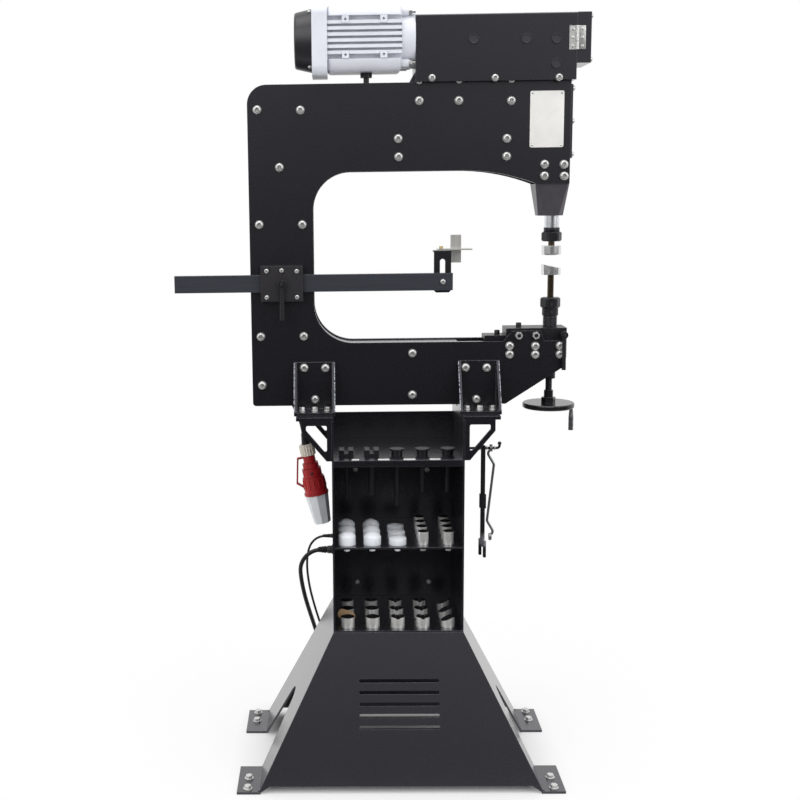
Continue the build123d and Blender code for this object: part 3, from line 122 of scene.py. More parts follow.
bright = add(tree, "ValToRGB", {"Fac": away})
bright.color_ramp.elements[0].color = (0.05, 0.05, 0.05, 1)
bright.color_ramp.elements[1].position = 0.95
bright.color_ramp.elements.new(0.07).color = (0.78, 0.78, 0.78, 1)
bright.color_ramp.elements.new(0.30).color = (0.93, 0.93, 0.93, 1)
share = add(tree, "Math", {0: seen, 1: bright}, operation="MULTIPLY")
matt = add(tree, "BsdfDiffuse", {"Color": "#E4E4E4"})
depth = add(tree, "SeparateXYZ", {"Vector": place})
behind = add(tree, "MapRange", {"Value": depth.outputs["Y"], "From Min": -0.9, "From Max": 0.1,
                                "To Min": 0.02, "To Max": 1.0})
behind = add(tree, "Math", {0: rays.outputs["Is Camera Ray"], 1: behind}, operation="MAXIMUM")
glow = add(tree, "Emission", {"Color": "#FFFFFF", "Strength": behind})
mixed = add(tree, "MixShader", {"Fac": share, 1: matt, 2: glow})
add(tree, "OutputMaterial", {"Surface": mixed})


def soft_box(name, place, target, width, height, power):
    """A rectangular studio lamp aimed at a point."""
    lamp = bpy.data.lights.new(name, "AREA")
    lamp.shape = "RECTANGLE"
    lamp.size = width
    lamp.size_y = height
    lamp.energy = power
    holder = bpy.data.objects.new(name, lamp)
    holder.location = place
    holder.rotation_euler = (Vector(target) - Vector(place)).to_track_quat("-Z", "Y").to_euler()
    scene.collection.objects.link(holder)


soft_box("key_light", (-2.2, -2.6, 3.0), (0, 0, 1.1), width=1.4, height=2.2, power=26)
soft_box("fill_light", (2.6, -2.2, 2.4), (0, 0, 1.0), width=1.2, height=2.2, power=20)
soft_box("top_light", (0.0, -0.6, 4.2), (0, 0, 1.0), width=2.4, height=1.8, power=45)

camera_data = bpy.data.cameras.new("camera")
camera = bpy.data.objects.new("camera", camera_data)
scene.collection.objects.link(camera)
scene.camera = camera
camera_data.sensor_width = 36.0
camera_data.lens = 55.34
camera_data.shift_x = 0.118
camera_data.clip_end = 100.0
camera_place = Vector((-0.1493, -2.9237, 1.3904))
yaw = -0.02279
pitch = 0.16642
roll = 0.01362
forward = Vector((math.sin(yaw) * math.cos(pitch), math.cos(yaw) * math.cos(pitch), -math.sin(pitch)))
level_right = Vector((math.cos(yaw), -math.sin(yaw), 0))
level_down = forward.cross(level_right)
right = level_right * math.cos(roll) + level_down * math.sin(roll)
down = level_down * math.cos(roll) - level_right * math.sin(roll)
camera_turn = Matrix((right, -down, -forward)).transposed().to_4x4()
camera.matrix_world = Matrix.Translation(camera_place) @ camera_turn


# Stand base: four plates of 6 mm steel, cut, bent and welded into a flared box, with the feet bent out
# of the two sides. The whole stand is powder coated black, a dry spray baked to a fine pebbled skin.
def new_finish(name):
    """A material with its node tree, its Principled shader and its Object coordinates."""
    finish = bpy.data.materials.new(name)
    finish.use_nodes = True
    tree = finish.node_tree
    return finish, tree, tree.nodes["Principled BSDF"], add(tree, "TexCoord").outputs["Object"]


def dress(finish, *node_names):
    """Give CAD nodes a finish."""
    for name in node_names:
        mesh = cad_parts[name].data
        mesh.materials.clear()
        mesh.materials.append(finish)


def edge_wear_and_highlight(tree, radius, start, full, most):
    """Soft edges of that radius, and a mask of wear and painted highlight as their two normals part."""
    edges = add(tree, "Bevel", {"Radius": radius}, samples=4)
    flat = add(tree, "NewGeometry").outputs["True Normal"]
    match = add(tree, "VectorMath", {0: edges, 1: flat}, operation="DOT_PRODUCT")
    wear_and_highlight = add(tree, "MapRange", {"Value": match, "From Min": start, "From Max": full, "To Max": most})
    return edges, wear_and_highlight


# Pebbles of about 0.5 mm are drawn 2.5 mm wide, so that they still break up the shine at this distance.
# The coat thins over sharp edges, which are painted a little greyer, partly for that and partly as a
# painted highlight. Its skin shines at a low angle.
powder_coat, tree, shader, place = new_finish("black_powder_coat")
pebble = 0.0025
cloud = 0.12
pebbles = add(tree, "TexNoise", {"Vector": place, "Scale": 1 / pebble, "Detail": 2.0, "Roughness": 0.6})
clouds = add(tree, "TexNoise", {"Vector": place, "Scale": 1 / cloud, "Detail": 3.0})
edges, thin_coat_and_highlight = edge_wear_and_highlight(tree, radius=0.0018, start=0.99, full=0.80, most=0.7)
coat = add(tree, "Mix", {0: clouds, 6: "#0D0C10", 7: "#131217"}, data_type="RGBA")
# Edges go greyer: partly thin coat, partly a painted highlight.
coat = add(tree, "Mix", {0: thin_coat_and_highlight, 6: coat, 7: "#4A494F"}, data_type="RGBA")
shine = add(tree, "MapRange", {"Value": pebbles, "To Min": 0.22, "To Max": 0.36})
relief = add(tree, "Bump", {"Height": pebbles, "Strength": 0.14, "Distance": 0.0003, "Normal": edges})
join(tree, shader, {"Base Color": coat, "Roughness": shine, "Normal": relief, "Specular IOR Level": 0.85,
                    "Specular Tint": "#F3F1FF", "Coat Weight": 0.5, "Coat Roughness": 0.2})
dress(powder_coat, "base_front_plate", "base_rear_plate", "base_left_side", "base_right_side", "base_shelf",
      "column_left_panel", "column_right_panel", "column_back_panel", "middle_shelf", "tool_rack",
      "left_wing", "right_wing", "frame_brackets", "frame_front_plate", "frame_rear_plate", "throat_strip",
      "back_strip", "nose_cover", "drive_housing", "end_door", "electrical_box")


# Foot bolts: two zinc-plated hexagon bolts with washers on each foot. The plate is a thin silver-white
# metal with a soft shine and faint cloudy blooms, about 4 mm across.
def grained(name, dark, light, grain, rough, patch=None, detail=(2, 3), warp=0, edge=None, relief=None,
            fixed=None):
    """A finish whose grain breaks up its shine, with a colour that drifts over patches or with the grain.

    The grain has a size along X, Y and Z, and detail is how finely the grain and the patches break up.
    edge is the radius of soft edges, relief the strength and depth of the grain's bumps, and fixed what
    is the same all over.
    """
    finish, tree, shader, place = new_finish(name)
    along = add(tree, "Mapping", {"Vector": place, "Scale": [1 / size for size in grain]})
    grains = add(tree, "TexNoise", {"Vector": along, "Scale": 1, "Detail": detail[0], "Distortion": warp})
    patches = grains
    if patch:
        patches = add(tree, "TexNoise", {"Vector": place, "Scale": 1 / patch, "Detail": detail[1]})
    colour = add(tree, "Mix", {0: patches, 6: dark, 7: light}, data_type="RGBA")
    shine = add(tree, "MapRange", {"Value": grains, "To Min": rough[0], "To Max": rough[1]})
    normal = {}
    if edge:
        normal["Normal"] = add(tree, "Bevel", {"Radius": edge}, samples=4)
    if relief:
        bumps = {"Height": grains, "Strength": relief[0], "Distance": relief[1]}
        normal["Normal"] = add(tree, "Bump", {**bumps, **normal})
    join(tree, shader, {"Base Color": colour, "Roughness": shine, **normal, **(fixed or {})})
    return finish


zinc_plate = grained("zinc_plate", "#BFC0C0", "#E2E2DF", grain=[0.004] * 3, rough=(0.24, 0.42),
                     detail=(3, 3), edge=0.0006, fixed={"Metallic": 0.75})


def turned(profile, steps=24):
    """A shape spun about Z from (radius, height) points; a point on the axis closes that end."""
    shape = bmesh.new()
    line = [shape.verts.new((radius, 0, height)) for radius, height in profile]
    run = [shape.edges.new(pair) for pair in zip(line, line[1:])]
    bmesh.ops.spin(shape, geom=line + run, cent=(0, 0, 0), axis=(0, 0, 1), angle=math.tau, steps=steps,
                   use_merge=True)
    bmesh.ops.remove_doubles(shape, verts=shape.verts, dist=1e-6)
    bmesh.ops.recalc_face_normals(shape, faces=shape.faces)
    return shape


def place_copies(shape, mounts, onto=None):
    """Copies of a shape, each stood on a place and pointing outwards, and rolled on its own axis."""
    roll_step = 2.4
    pattern = bpy.data.meshes.new("pattern")
    shape.to_mesh(pattern)
    shape.free()
    copies = onto or bmesh.new()
    for count, (place, outwards) in enumerate(mounts):
        before = len(copies.verts)
        copies.from_mesh(pattern)
        copies.verts.ensure_lookup_table()
        turn = Vector(outwards).to_track_quat("Z", "Y").to_matrix().to_4x4()
        rolled = turn @ Matrix.Rotation(roll_step * count, 4, "Z")
        bmesh.ops.transform(copies, verts=copies.verts[before:], matrix=Matrix.Translation(place) @ rolled)
    bpy.data.meshes.remove(pattern)
    return copies


def make_piece(name, shape, finish, body="stand", crease=35.0):
    """Make a named piece of a shape, smooth but for creases, riding on a body."""
    mesh = bpy.data.meshes.new(name)
    shape.to_mesh(mesh)
    shape.free()
    mesh.shade_smooth()
    mesh.set_sharp_from_angle(angle=math.radians(crease))
    mesh.materials.append(finish)
    piece = bpy.data.objects.new(name, mesh)
    scene.collection.objects.link(piece)
    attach(piece, body)
    return piece


def fix_on(name, shape, mounts, finish=zinc_plate, body="stand", crease=35.0):
    """Make one piece of a shape's copies on their mounts; most are zinc-plated screws on the stand."""
    return make_piece(name, place_copies(shape, mounts), finish, body, crease)


def soften(shape, lip, offset):
    """Round off a run of edges."""
    bmesh.ops.bevel(shape, geom=lip, offset=offset, segments=2, profile=0.5, affect="EDGES", material=-1)


def hex_head(across, height, washer, washer_height):
    """A six-sided bolt head on a round washer, standing on Z = 0."""
    rim = 0.12 * washer_height
    shape = turned([(0, 0), (washer / 2, 0), (washer / 2, washer_height - rim),
                    (washer / 2 - rim, washer_height), (0, washer_height)])
    top = bmesh.ops.create_cone(shape, cap_ends=True, segments=6, radius1=across / math.sqrt(3),
                                radius2=across / math.sqrt(3), depth=height)["verts"]
    bmesh.ops.translate(shape, verts=top, vec=(0, 0, washer_height + height / 2))
    lip_low = washer_height + 0.9 * height
    lip = [e for e in shape.edges if all(v in top and v.co.z > lip_low for v in e.verts)]
    soften(shape, lip, 0.12 * height)
    return shape


front = (0, -1, 0)
rear = (0, 1, 0)
to_right = (1, 0, 0)
to_left = (-1, 0, 0)
up = (0, 0, 1)
sides = (-1, 1)
corners = [(first, second) for first in sides for second in sides]
foot_top = 0.006
foot_bolt_x = 0.36
foot_bolt_y = (0.163, 0.215)
foot_mounts = [((sx * foot_bolt_x, sy * y, foot_top), up) for sx, sy in corners for y in foot_bolt_y]
fix_on("foot_bolts", hex_head(across=0.015, height=0.007, washer=0.022, washer_height=0.002), foot_mounts)


# Column: folded sheet with two shelves and a tool rack. Four small button screws with hexagon sockets,
# zinc plated, hold the electrical box behind its back panel.
def to_hexagon(ring, across):
    """Move a ring of points onto a hexagon of that size across its flats."""
    for v in ring:
        turn = math.atan2(v.co.y, v.co.x) % (math.tau / 6) - math.tau / 12
        v.co.xy = v.co.xy.normalized() * (across / 2 / math.cos(turn))


def sink_socket(shape, across, depth):
    """Turn the open ring at the top of a spun head into a hexagon socket of that depth."""
    top = max(v.co.z for v in shape.verts)
    ring = [e for e in shape.edges if e.is_boundary and all(v.co.z > top - 1e-6 for v in e.verts)]
    to_hexagon({v for e in ring for v in e.verts}, across)
    wall = bmesh.ops.extrude_edge_only(shape, edges=ring)["geom"]
    foot = [v for v in wall if isinstance(v, bmesh.types.BMVert)]
    bmesh.ops.translate(shape, verts=foot, vec=(0, 0, -depth))
    bmesh.ops.contextual_create(shape, geom=[e for e in wall if isinstance(e, bmesh.types.BMEdge)])
    bmesh.ops.recalc_face_normals(shape, faces=shape.faces)
    return shape


def button_head(head, height, socket):
    """A domed socket screw head standing on Z = 0."""
    r = head / 2
    profile = [(r, 0), (r, 0.22 * height), (0.93 * r, 0.55 * height), (0.76 * r, 0.86 * height),
               (0.58 * r, height), (0.45 * r, height)]
    return sink_socket(turned(profile), socket, 0.6 * height)


def on_face(y, outwards, places):
    """Mounts at (x, z) places on a face that looks to the front or the rear."""
    return [((x, y, z), outwards) for x, z in places]


panel_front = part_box("column_back_panel")[0].y
panel_screws = [(-0.092, 0.401), (0.092, 0.400), (-0.095, 0.698), (0.087, 0.696)]
fix_on("panel_screws", button_head(head=0.014, height=0.005, socket=0.005),
       on_face(panel_front, front, panel_screws))


# Light dashes: blank white strips along the front of the tool rack, one between each pair of tools. They
# are painted light, standing in for the light that shows there, and read as thin bright dashes.
def flat_plate(width, height, corner, thickness):
    """A plate with rounded corners and a soft top edge, lying on Z = 0."""
    shape = bmesh.new()
    bmesh.ops.create_grid(shape, x_segments=1, y_segments=1, size=0.5)
    bmesh.ops.scale(shape, vec=(width, height, 1), verts=shape.verts)
    bmesh.ops.bevel(shape, geom=shape.verts[:], offset=corner, segments=5, profile=0.5, affect="VERTICES",
                    material=-1)
    lid = bmesh.ops.extrude_face_region(shape, geom=shape.faces[:])["geom"]
    raised = [v for v in lid if isinstance(v, bmesh.types.BMVert)]
    bmesh.ops.translate(shape, verts=raised, vec=(0, 0, thickness))
    bmesh.ops.recalc_face_normals(shape, faces=shape.faces)
    soften(shape, [e for e in shape.edges if all(v in raised for v in e.verts)], 0.3 * thickness)
    return shape


def moulded(name, dark, light, grain, rough):
    """A moulded plastic: an even colour with a fine grain that also breaks up its shine."""
    return grained(name, dark, light, grain=[grain] * 3, rough=(rough - 0.1, rough + 0.1), patch=30 * grain,
                   detail=(2, 2), edge=0.0008, relief=(0.12, 0.0003))


# Painted light: an even semi-gloss white, with only a faint grain.
light_dash_white = moulded("painted_light_white", "#E2E2E2", "#EFEFEF", grain=0.0015, rough=0.4)
rack_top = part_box("tool_rack")[1].z
strip_y = -0.121
strips = [(-0.0991, 0.017), (-0.0332, 0.0265), (0.0268, 0.028), (0.0861, 0.0247)]
rack_light_dashes = bmesh.new()
for x, length in strips:
    strip = flat_plate(length, height=0.012, corner=0.002, thickness=0.0008)
    place_copies(strip, [((x, strip_y, rack_top), up)], rack_light_dashes)
make_piece("rack_light_dashes", rack_light_dashes, light_dash_white)


# Wings: two 8 mm plates welded to the column's top, each with two pierced gussets below. The weld beads
# were run by hand before the coat went on, so they are black too, in ripples about 3 mm apart.
def run_bead(beads, start, end, radius):
    """Add a rippled weld bead that lies from one point to another."""
    ripple = 0.003
    start = Vector(start)
    run = Vector(end) - start
    count = round(run.length / ripple)
    profile = [(0, 0)]
    for number in range(count):
        profile += [(0.80 * radius, (number + 0.1) * ripple), (radius, (number + 0.55) * ripple)]
    profile.append((0, count * ripple))
    place_copies(turned(profile, steps=10), [(start, run)], beads)


column_x = 0.154
gusset_y = 0.127
wing_under = 0.871
gusset_low = 0.780
gusset_out = 0.224
wing_bead = 0.003
wing_welds = bmesh.new()
for sx, sy in corners:
    inner = (sx * column_x, sy * gusset_y, wing_under)
    run_bead(wing_welds, (sx * column_x, sy * gusset_y, gusset_low), inner, wing_bead)
    run_bead(wing_welds, inner, (sx * gusset_out, sy * gusset_y, wing_under), wing_bead)
make_piece("wing_welds", wing_welds, powder_coat, crease=50)

# Corner angles: folded steel between the wings and the frame. The ribs of each are welded along its leg
# and its foot, with the same ripples, and thin bluish strips along their outer edges are painted highlights.
bracket_x = 0.193
bracket_half = 0.048
bracket_rib = 0.006
bracket_leg = 0.053
bracket_reach = 0.110
bracket_foot = 0.887
bracket_top = 0.998
bracket_bead = 0.0032
weld_top = bracket_top - 0.012
weld_reach = bracket_reach - 0.008
edge_r = 0.0012
edge_gap = 0.001
bracket_welds = bmesh.new()
rib_edge_highlights = bmesh.new()
for sx, sy in corners:
    for side in sides:
        x = sx * bracket_x + side * (bracket_half - bracket_rib)
        inner = (x, sy * bracket_leg, bracket_foot)
        run_bead(bracket_welds, inner, (x, sy * bracket_leg, weld_top), bracket_bead)
        run_bead(bracket_welds, inner, (x, sy * weld_reach, bracket_foot), bracket_bead)
        x = sx * bracket_x + side * (bracket_half - edge_r / 2)
        run_bead(rib_edge_highlights, (x, sy * bracket_leg, bracket_top - edge_gap),
                 (x, sy * bracket_reach, bracket_foot + edge_gap), edge_r)
make_piece("bracket_welds", bracket_welds, powder_coat, crease=50)

# The painted highlight is broken into bits a few millimetres long.
edge_highlight_finish, tree, shader, place = new_finish("painted_edge_highlight")
highlight_break = 0.005
highlight_breaks = add(tree, "TexNoise", {"Vector": place, "Scale": 1 / highlight_break, "Detail": 3.0})
highlit = add(tree, "MapRange", {"Value": highlight_breaks, "From Min": 0.40, "From Max": 0.52})
highlight_colour = add(tree, "Mix", {0: highlit, 6: "#1C1B1F", 7: "#B4B7C2"}, data_type="RGBA")
shine = add(tree, "MapRange", {"Value": highlight_breaks, "To Min": 0.30, "To Max": 0.50})
join(tree, shader, {"Base Color": highlight_colour, "Roughness": shine, "Metallic": highlit})
make_piece("rib_edge_highlights", rib_edge_highlights, edge_highlight_finish, crease=50)


# Frame bolts: button-head socket bolts through both plates and the spacers between them, zinc plated,
# with hexagon nuts and washers on the rear plate.
def frame_bolt():
    """The head of a large button-head bolt."""
    return button_head(head=0.0205, height=0.0085, socket=0.009)


frame_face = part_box("frame_front_plate")[0].y
frame_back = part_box("frame_rear_plate")[1].y
frame_bolts = [(-0.317, 1.580), (-0.218, 1.578), (-0.268, 1.450), (-0.317, 1.320), (-0.217, 1.319),
               (-0.318, 1.059), (-0.217, 1.059), (-0.317, 0.943), (0.038, 1.016), (0.038, 0.917),
               (0.053, 1.595), (0.143, 1.594), (0.262, 1.592), (0.005, 1.511), (0.006, 1.470),
               (0.253, 1.508), (0.253, 1.468), (0.340, 1.449), (0.384, 1.448), (0.340, 1.423), (0.385, 1.422),
               (0.266, 1.031), (0.326, 1.030), (0.384, 1.030), (0.266, 1.011), (0.326, 1.010), (0.384, 1.010)]
fix_on("frame_bolts", frame_bolt(), on_face(frame_face, front, frame_bolts))
fix_on("frame_nuts", hex_head(across=0.017, height=0.009, washer=0.021, washer_height=0.002),
       on_face(frame_back, rear, frame_bolts))

# Bracket bolts: three button heads into the frame and three hexagon heads into the wing at each corner
# angle, zinc plated like the frame's.
leg_bolts = [(-0.217, 0.985), (-0.167, 0.984), (-0.192, 0.909), (0.162, 0.982), (0.212, 0.981),
             (0.188, 0.906)]
fix_on("bracket_bolts", frame_bolt(),
       on_face(-bracket_leg, front, leg_bolts) + on_face(bracket_leg, rear, leg_bolts))
foot_row = (-0.030, 0.0, 0.030)
foot_line = 0.084
wing_mounts = [((sx * bracket_x + dx, sy * foot_line, bracket_foot), up)
               for sx, sy in corners for dx in foot_row]
fix_on("bracket_foot_bolts", hex_head(across=0.012, height=0.008, washer=0.017, washer_height=0.0016),
       wing_mounts)

# Nose plate: a blank plate of thin white-enamelled aluminium on the frame's nose, held by four small dome
# rivets. The baked enamel is glossy, with a 3 mm orange peel and dull smudges a few centimetres wide.
enamel_white, tree, shader, place = new_finish("white_baked_enamel")
peel = 0.003
smudge = 0.03
orange_peel = add(tree, "TexNoise", {"Vector": place, "Scale": 1 / peel, "Detail": 2.0})
smudges = add(tree, "TexNoise", {"Vector": place, "Scale": 1 / smudge, "Detail": 4.0})
white = add(tree, "Mix", {0: smudges, 6: "#D2D1CE", 7: "#E4E3E0"}, data_type="RGBA")
shine = add(tree, "MapRange", {"Value": smudges, "To Min": 0.22, "To Max": 0.42})
relief = add(tree, "Bump", {"Height": orange_peel, "Strength": 0.08, "Distance": 0.0003})
join(tree, shader, {"Base Color": white, "Roughness": shine, "Normal": relief})


def riveted_plate(name, rivets_name, centre, outwards, width, height):
    """A blank enamelled plate on a front or rear face, with a dome rivet in each corner."""
    thickness = 0.0008
    inset = 0.005
    rivet = [(0.0026, 0), (0.0024, 0.0007), (0.0016, 0.0013), (0, 0.0016)]
    x, y, z = centre
    rows = [(x + sx * (width / 2 - inset), z + sz * (height / 2 - inset)) for sx, sz in corners]
    fix_on(name, flat_plate(width, height, corner=0.004, thickness=thickness), [(centre, outwards)],
           enamel_white)
    fix_on(rivets_name, turned(rivet, steps=16), on_face(y + outwards[1] * thickness, outwards, rows))


riveted_plate("blank_plate", "plate_rivets", (0.3435, frame_face, 1.550), front, width=0.077, height=0.126)

# Nose cover: a folded and powder-coated sheet that closes the frame's nose, held by six small zinc-plated
# button screws in two rows.
nose_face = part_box("nose_cover")[1].x
nose_row = 0.036
nose_heights = (1.471, 1.545, 1.618)
nose_mounts = [((nose_face, sy * nose_row, z), to_right) for sy in sides for z in nose_heights]
fix_on("nose_screws", button_head(head=0.014, height=0.0055, socket=0.0055), nose_mounts)


# Drive housing: folded sheet over the crank, bolted to the frame's top edge. Moulded grey plastic plugs
# with a raised rim close the holes to its bearings.
def housing_bolt():
    """The head of a middling button-head bolt."""
    return button_head(head=0.017, height=0.0075, socket=0.0075)


housing_low, housing_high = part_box("drive_housing")
plug_grey = moulded("dark_grey_polyethylene", "#26262A", "#34343A", grain=0.0012, rough=0.45)
plug_r = 0.0115
plug_profile = [(plug_r, 0), (plug_r, 0.0012), (0.94 * plug_r, 0.0028), (0.84 * plug_r, 0.0028),
                (0.76 * plug_r, 0.0014), (0, 0.0010)]
hole_plugs = [(0.174, 1.728), (0.292, 1.727), (0.360, 1.726), (0.360, 1.672)]
fix_on("hole_plugs", turned(plug_profile, steps=32),
       on_face(housing_low.y, front, hole_plugs) + on_face(housing_high.y, rear, hole_plugs),
       plug_grey)
housing_bolts = [(0.081, 1.644), (0.223, 1.642), (0.367, 1.641)]
fix_on("housing_bolts", housing_bolt(),
       on_face(housing_low.y, front, housing_bolts) + on_face(housing_high.y, rear, housing_bolts))
lip_bolts = [(0.053, 1.6395), (0.143, 1.6395), (0.262, 1.6395)]
fix_on("lip_bolts", housing_bolt(),
       on_face(frame_face, front, lip_bolts) + on_face(frame_back, rear, lip_bolts))


# End door: a folded cap on a butt hinge of zinc-plated steel, three small socket screws in each leaf, with
# two button screws at its top and two at its bottom that lock it shut.
def hinge_screw():
    """The low head of a hinge screw."""
    profile = [(0.0034, 0), (0.0034, 0.0003), (0.0024, 0.0008), (0.0014, 0.0008)]
    return sink_socket(turned(profile, steps=18), across=0.0024, depth=0.0006)


dress(zinc_plate, "hinge_leaf")
hinge_pin = 0.40625
hinge_middle = 1.727
hinge_rows = (1.7085, hinge_middle, 1.7455)
screw_reach = 0.0105
leaf_reach = 0.0095
leaf_skin = 0.0006
leaf_thickness = 0.002
leaf_face = housing_low.y - leaf_thickness
fix_on("hinge_screws_housing", hinge_screw(),
       on_face(leaf_face, front, [(hinge_pin - screw_reach, z) for z in hinge_rows]))
fix_on("door_leaf", flat_plate(width=0.0165, height=0.051, corner=0.0015, thickness=leaf_skin),
       on_face(leaf_face, front, [(hinge_pin + leaf_reach, hinge_middle)]), body="end_door")
fix_on("hinge_screws_door", hinge_screw(),
       on_face(leaf_face - leaf_skin, front, [(hinge_pin + screw_reach, z) for z in hinge_rows]),
       body="end_door")
knuckle_r = 0.0032
knuckle_bore = 0.9 * knuckle_r
knuckle_low = 1.7189
knuckle_high = 1.7351
knuckle_end = 0.0003
knuckle_y = -0.0615
knuckle = [(knuckle_bore, knuckle_low), (knuckle_r - knuckle_end, knuckle_low),
           (knuckle_r, knuckle_low + knuckle_end), (knuckle_r, knuckle_high - knuckle_end),
           (knuckle_r - knuckle_end, knuckle_high), (knuckle_bore, knuckle_high), (knuckle_bore, knuckle_low)]
fix_on("door_knuckle", turned(knuckle, steps=24), [((hinge_pin, knuckle_y, 0), up)], body="end_door")
door_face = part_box("end_door")[1].x
door_row = 0.046
door_heights = (1.680, 1.775)
door_mounts = [((door_face, sy * door_row, z), to_right) for sy in sides for z in door_heights]
fix_on("door_screws", button_head(head=0.013, height=0.005, socket=0.005), door_mounts, body="end_door")

# Motor: a finned induction motor in die-cast aluminium, sprayed in light grey enamel over a slightly
# grainy casting, with a dark moulded fan cover.
motor_enamel = grained("light_grey_enamel", "#C4C7D0", "#DADCE3", grain=[0.003] * 3, rough=(0.30, 0.46),
                       patch=0.05, detail=(3, 3), edge=0.0010, relief=(0.15, 0.0005))
dress(motor_enamel, "motor_body", "motor_rear_ring", "motor_end_bell")
cover_grey = moulded("dark_grey_polypropylene", "#1F1F23", "#2A2A2E", grain=0.0015, rough=0.36)
dress(cover_grey, "motor_fan_cover", "motor_conduit")

# Motor studs: four zinc-plated studs with nuts hold the motor's flange to the housing, and four button
# screws hold the fan cover's rim.
motor_z = 1.735
lug_end = 0.029
lug_y = 0.046
lug_z = 0.056
stud_r = 0.004
stud_length = 0.008
stud_middle = 0.0115
stud = hex_head(across=0.013, height=0.0065, washer=0.017, washer_height=0.0016)
shank = bmesh.ops.create_cone(stud, cap_ends=True, segments=12, radius1=stud_r, radius2=stud_r,
                              depth=stud_length)
bmesh.ops.translate(stud, verts=shank["verts"], vec=(0, 0, stud_middle))
stud_mounts = [((lug_end, sy * lug_y, motor_z + sz * lug_z), to_right) for sy, sz in corners]
fix_on("motor_studs", stud, stud_mounts)
rim_x = -0.195
rim_r = 0.0704
cover_mounts = []
for angle in (59, 121, 239, 301):
    out = Vector((0, math.cos(math.radians(angle)), math.sin(math.radians(angle))))
    cover_mounts.append((Vector((rim_x, 0, motor_z)) + rim_r * out, out))
fix_on("fan_cover_screws", button_head(head=0.009, height=0.0035, socket=0.0035), cover_mounts)


# Ram guide and collet nuts: turned and milled steel, blacked in hot salts. The oxide is blue-black and
# satin, a little mottled, and its edges are greyed, partly for wear and partly as a painted highlight.
# The guide's phosphate coat is a warmer grey.
def blacked(name, dark, light, worn_and_highlit, grain, rough=0.28):
    """Blacked steel: mottled over a grain of that size along X, Y and Z, with tool marks, and edges worn
    grey and painted with a highlight.
    """
    finish, tree, shader, place = new_finish(name)
    tool_mark = 0.0012
    along = add(tree, "Mapping", {"Vector": place, "Scale": [1 / size for size in grain]})
    mottle = add(tree, "TexNoise", {"Vector": along, "Scale": 1.0, "Detail": 4.0})
    tool_marks = add(tree, "TexNoise", {"Vector": place, "Scale": 1 / tool_mark, "Detail": 2.0})
    edges, rubbed_and_highlit = edge_wear_and_highlight(tree, radius=0.0012, start=0.98, full=0.75, most=0.8)
    oxide = add(tree, "Mix", {0: mottle, 6: dark, 7: light}, data_type="RGBA")
    # The edges take the worn colour: partly real wear, partly a painted highlight.
    oxide = add(tree, "Mix", {0: rubbed_and_highlit, 6: oxide, 7: worn_and_highlit}, data_type="RGBA")
    shine = add(tree, "MapRange", {"Value": tool_marks, "To Min": rough, "To Max": rough + 0.18})
    relief = add(tree, "Bump", {"Height": tool_marks, "Strength": 0.10, "Distance": 0.0002, "Normal": edges})
    join(tree, shader, {"Base Color": oxide, "Roughness": shine, "Normal": relief, "Metallic": 0.4})
    return finish


dress(blacked("phosphated_steel", "#454247", "#5E5A60", worn_and_highlit="#7A777C", grain=[0.02] * 3), "ram_guide")
black_oxide = blacked("black_oxide_steel", "#151518", "#2A2A2F", worn_and_highlit="#6A6A70", grain=[0.015] * 3)
dress(black_oxide, "upper_collet_nut", "lower_collet_nut", "anvil_block", "screw_nut_housing",
      "anvil_lock_lever", "arm_lock_lever", "stop_bracket", "tool_hook", "rack_tools")

# Ram: a ground steel bar that slides in the guide, with a blacked band at its foot. Grinding leaves fine
# rings round it, drawn 1 mm apart so that they show, and a bright grey mirror with a little smear.
ground_steel = grained("ground_steel", "#C6C9CE", "#EEEFF1", grain=(0.0333, 0.0333, 0.001),
                       rough=(0.10, 0.22), patch=0.02, edge=0.0008, relief=(0.06, 0.0002),
                       fixed={"Metallic": 0.9})
dress(ground_steel, "ram")
die_x = 0.367
die_axis = [((die_x, 0, 0), up)]
ram_r = 0.017
band_low = 1.2942
band_high = 1.3042
band = [(ram_r, band_low), (ram_r + 0.0012, band_low), (ram_r + 0.0016, band_low + 0.0008),
        (ram_r + 0.0016, band_high - 0.0010), (ram_r + 0.0010, band_high), (ram_r, band_high)]
fix_on("ram_band", turned(band, steps=32), die_axis, black_oxide, "ram")

# Working dies: turned tool steel, held by their shanks in the collets. The faces are polished, and the
# hardening left the shanks brown, in patches of about 8 mm.
die_steel, tree, shader, place = new_finish("hardened_die_steel")
heat_patch = 0.008
shank_r = 0.0079
face_r = 0.0090
across = add(tree, "VectorMath", {0: place, 1: (die_x, 0, 0)}, operation="SUBTRACT")
across = add(tree, "VectorMath", {0: across, 1: (1, 1, 0)}, operation="MULTIPLY")
across = add(tree, "VectorMath", {0: across}, operation="LENGTH")
face = add(tree, "MapRange", {"Value": across, "From Min": shank_r, "From Max": face_r})
temper = add(tree, "TexNoise", {"Vector": place, "Scale": 1 / heat_patch, "Detail": 3.0})
brown = add(tree, "Mix", {0: temper, 6: "#3C332A", 7: "#6E6250"}, data_type="RGBA")
steel = add(tree, "Mix", {0: temper, 6: "#CBCCCE", 7: "#EDEDEC"}, data_type="RGBA")
both = add(tree, "Mix", {0: face, 6: brown, 7: steel}, data_type="RGBA")
shine = add(tree, "MapRange", {"Value": temper, "To Min": 0.10, "To Max": 0.20})
edges = add(tree, "Bevel", {"Radius": 0.0010}, samples=4)
join(tree, shader, {"Base Color": both, "Roughness": shine, "Normal": edges, "Metallic": 0.85})
dress(die_steel, "upper_die", "lower_die")

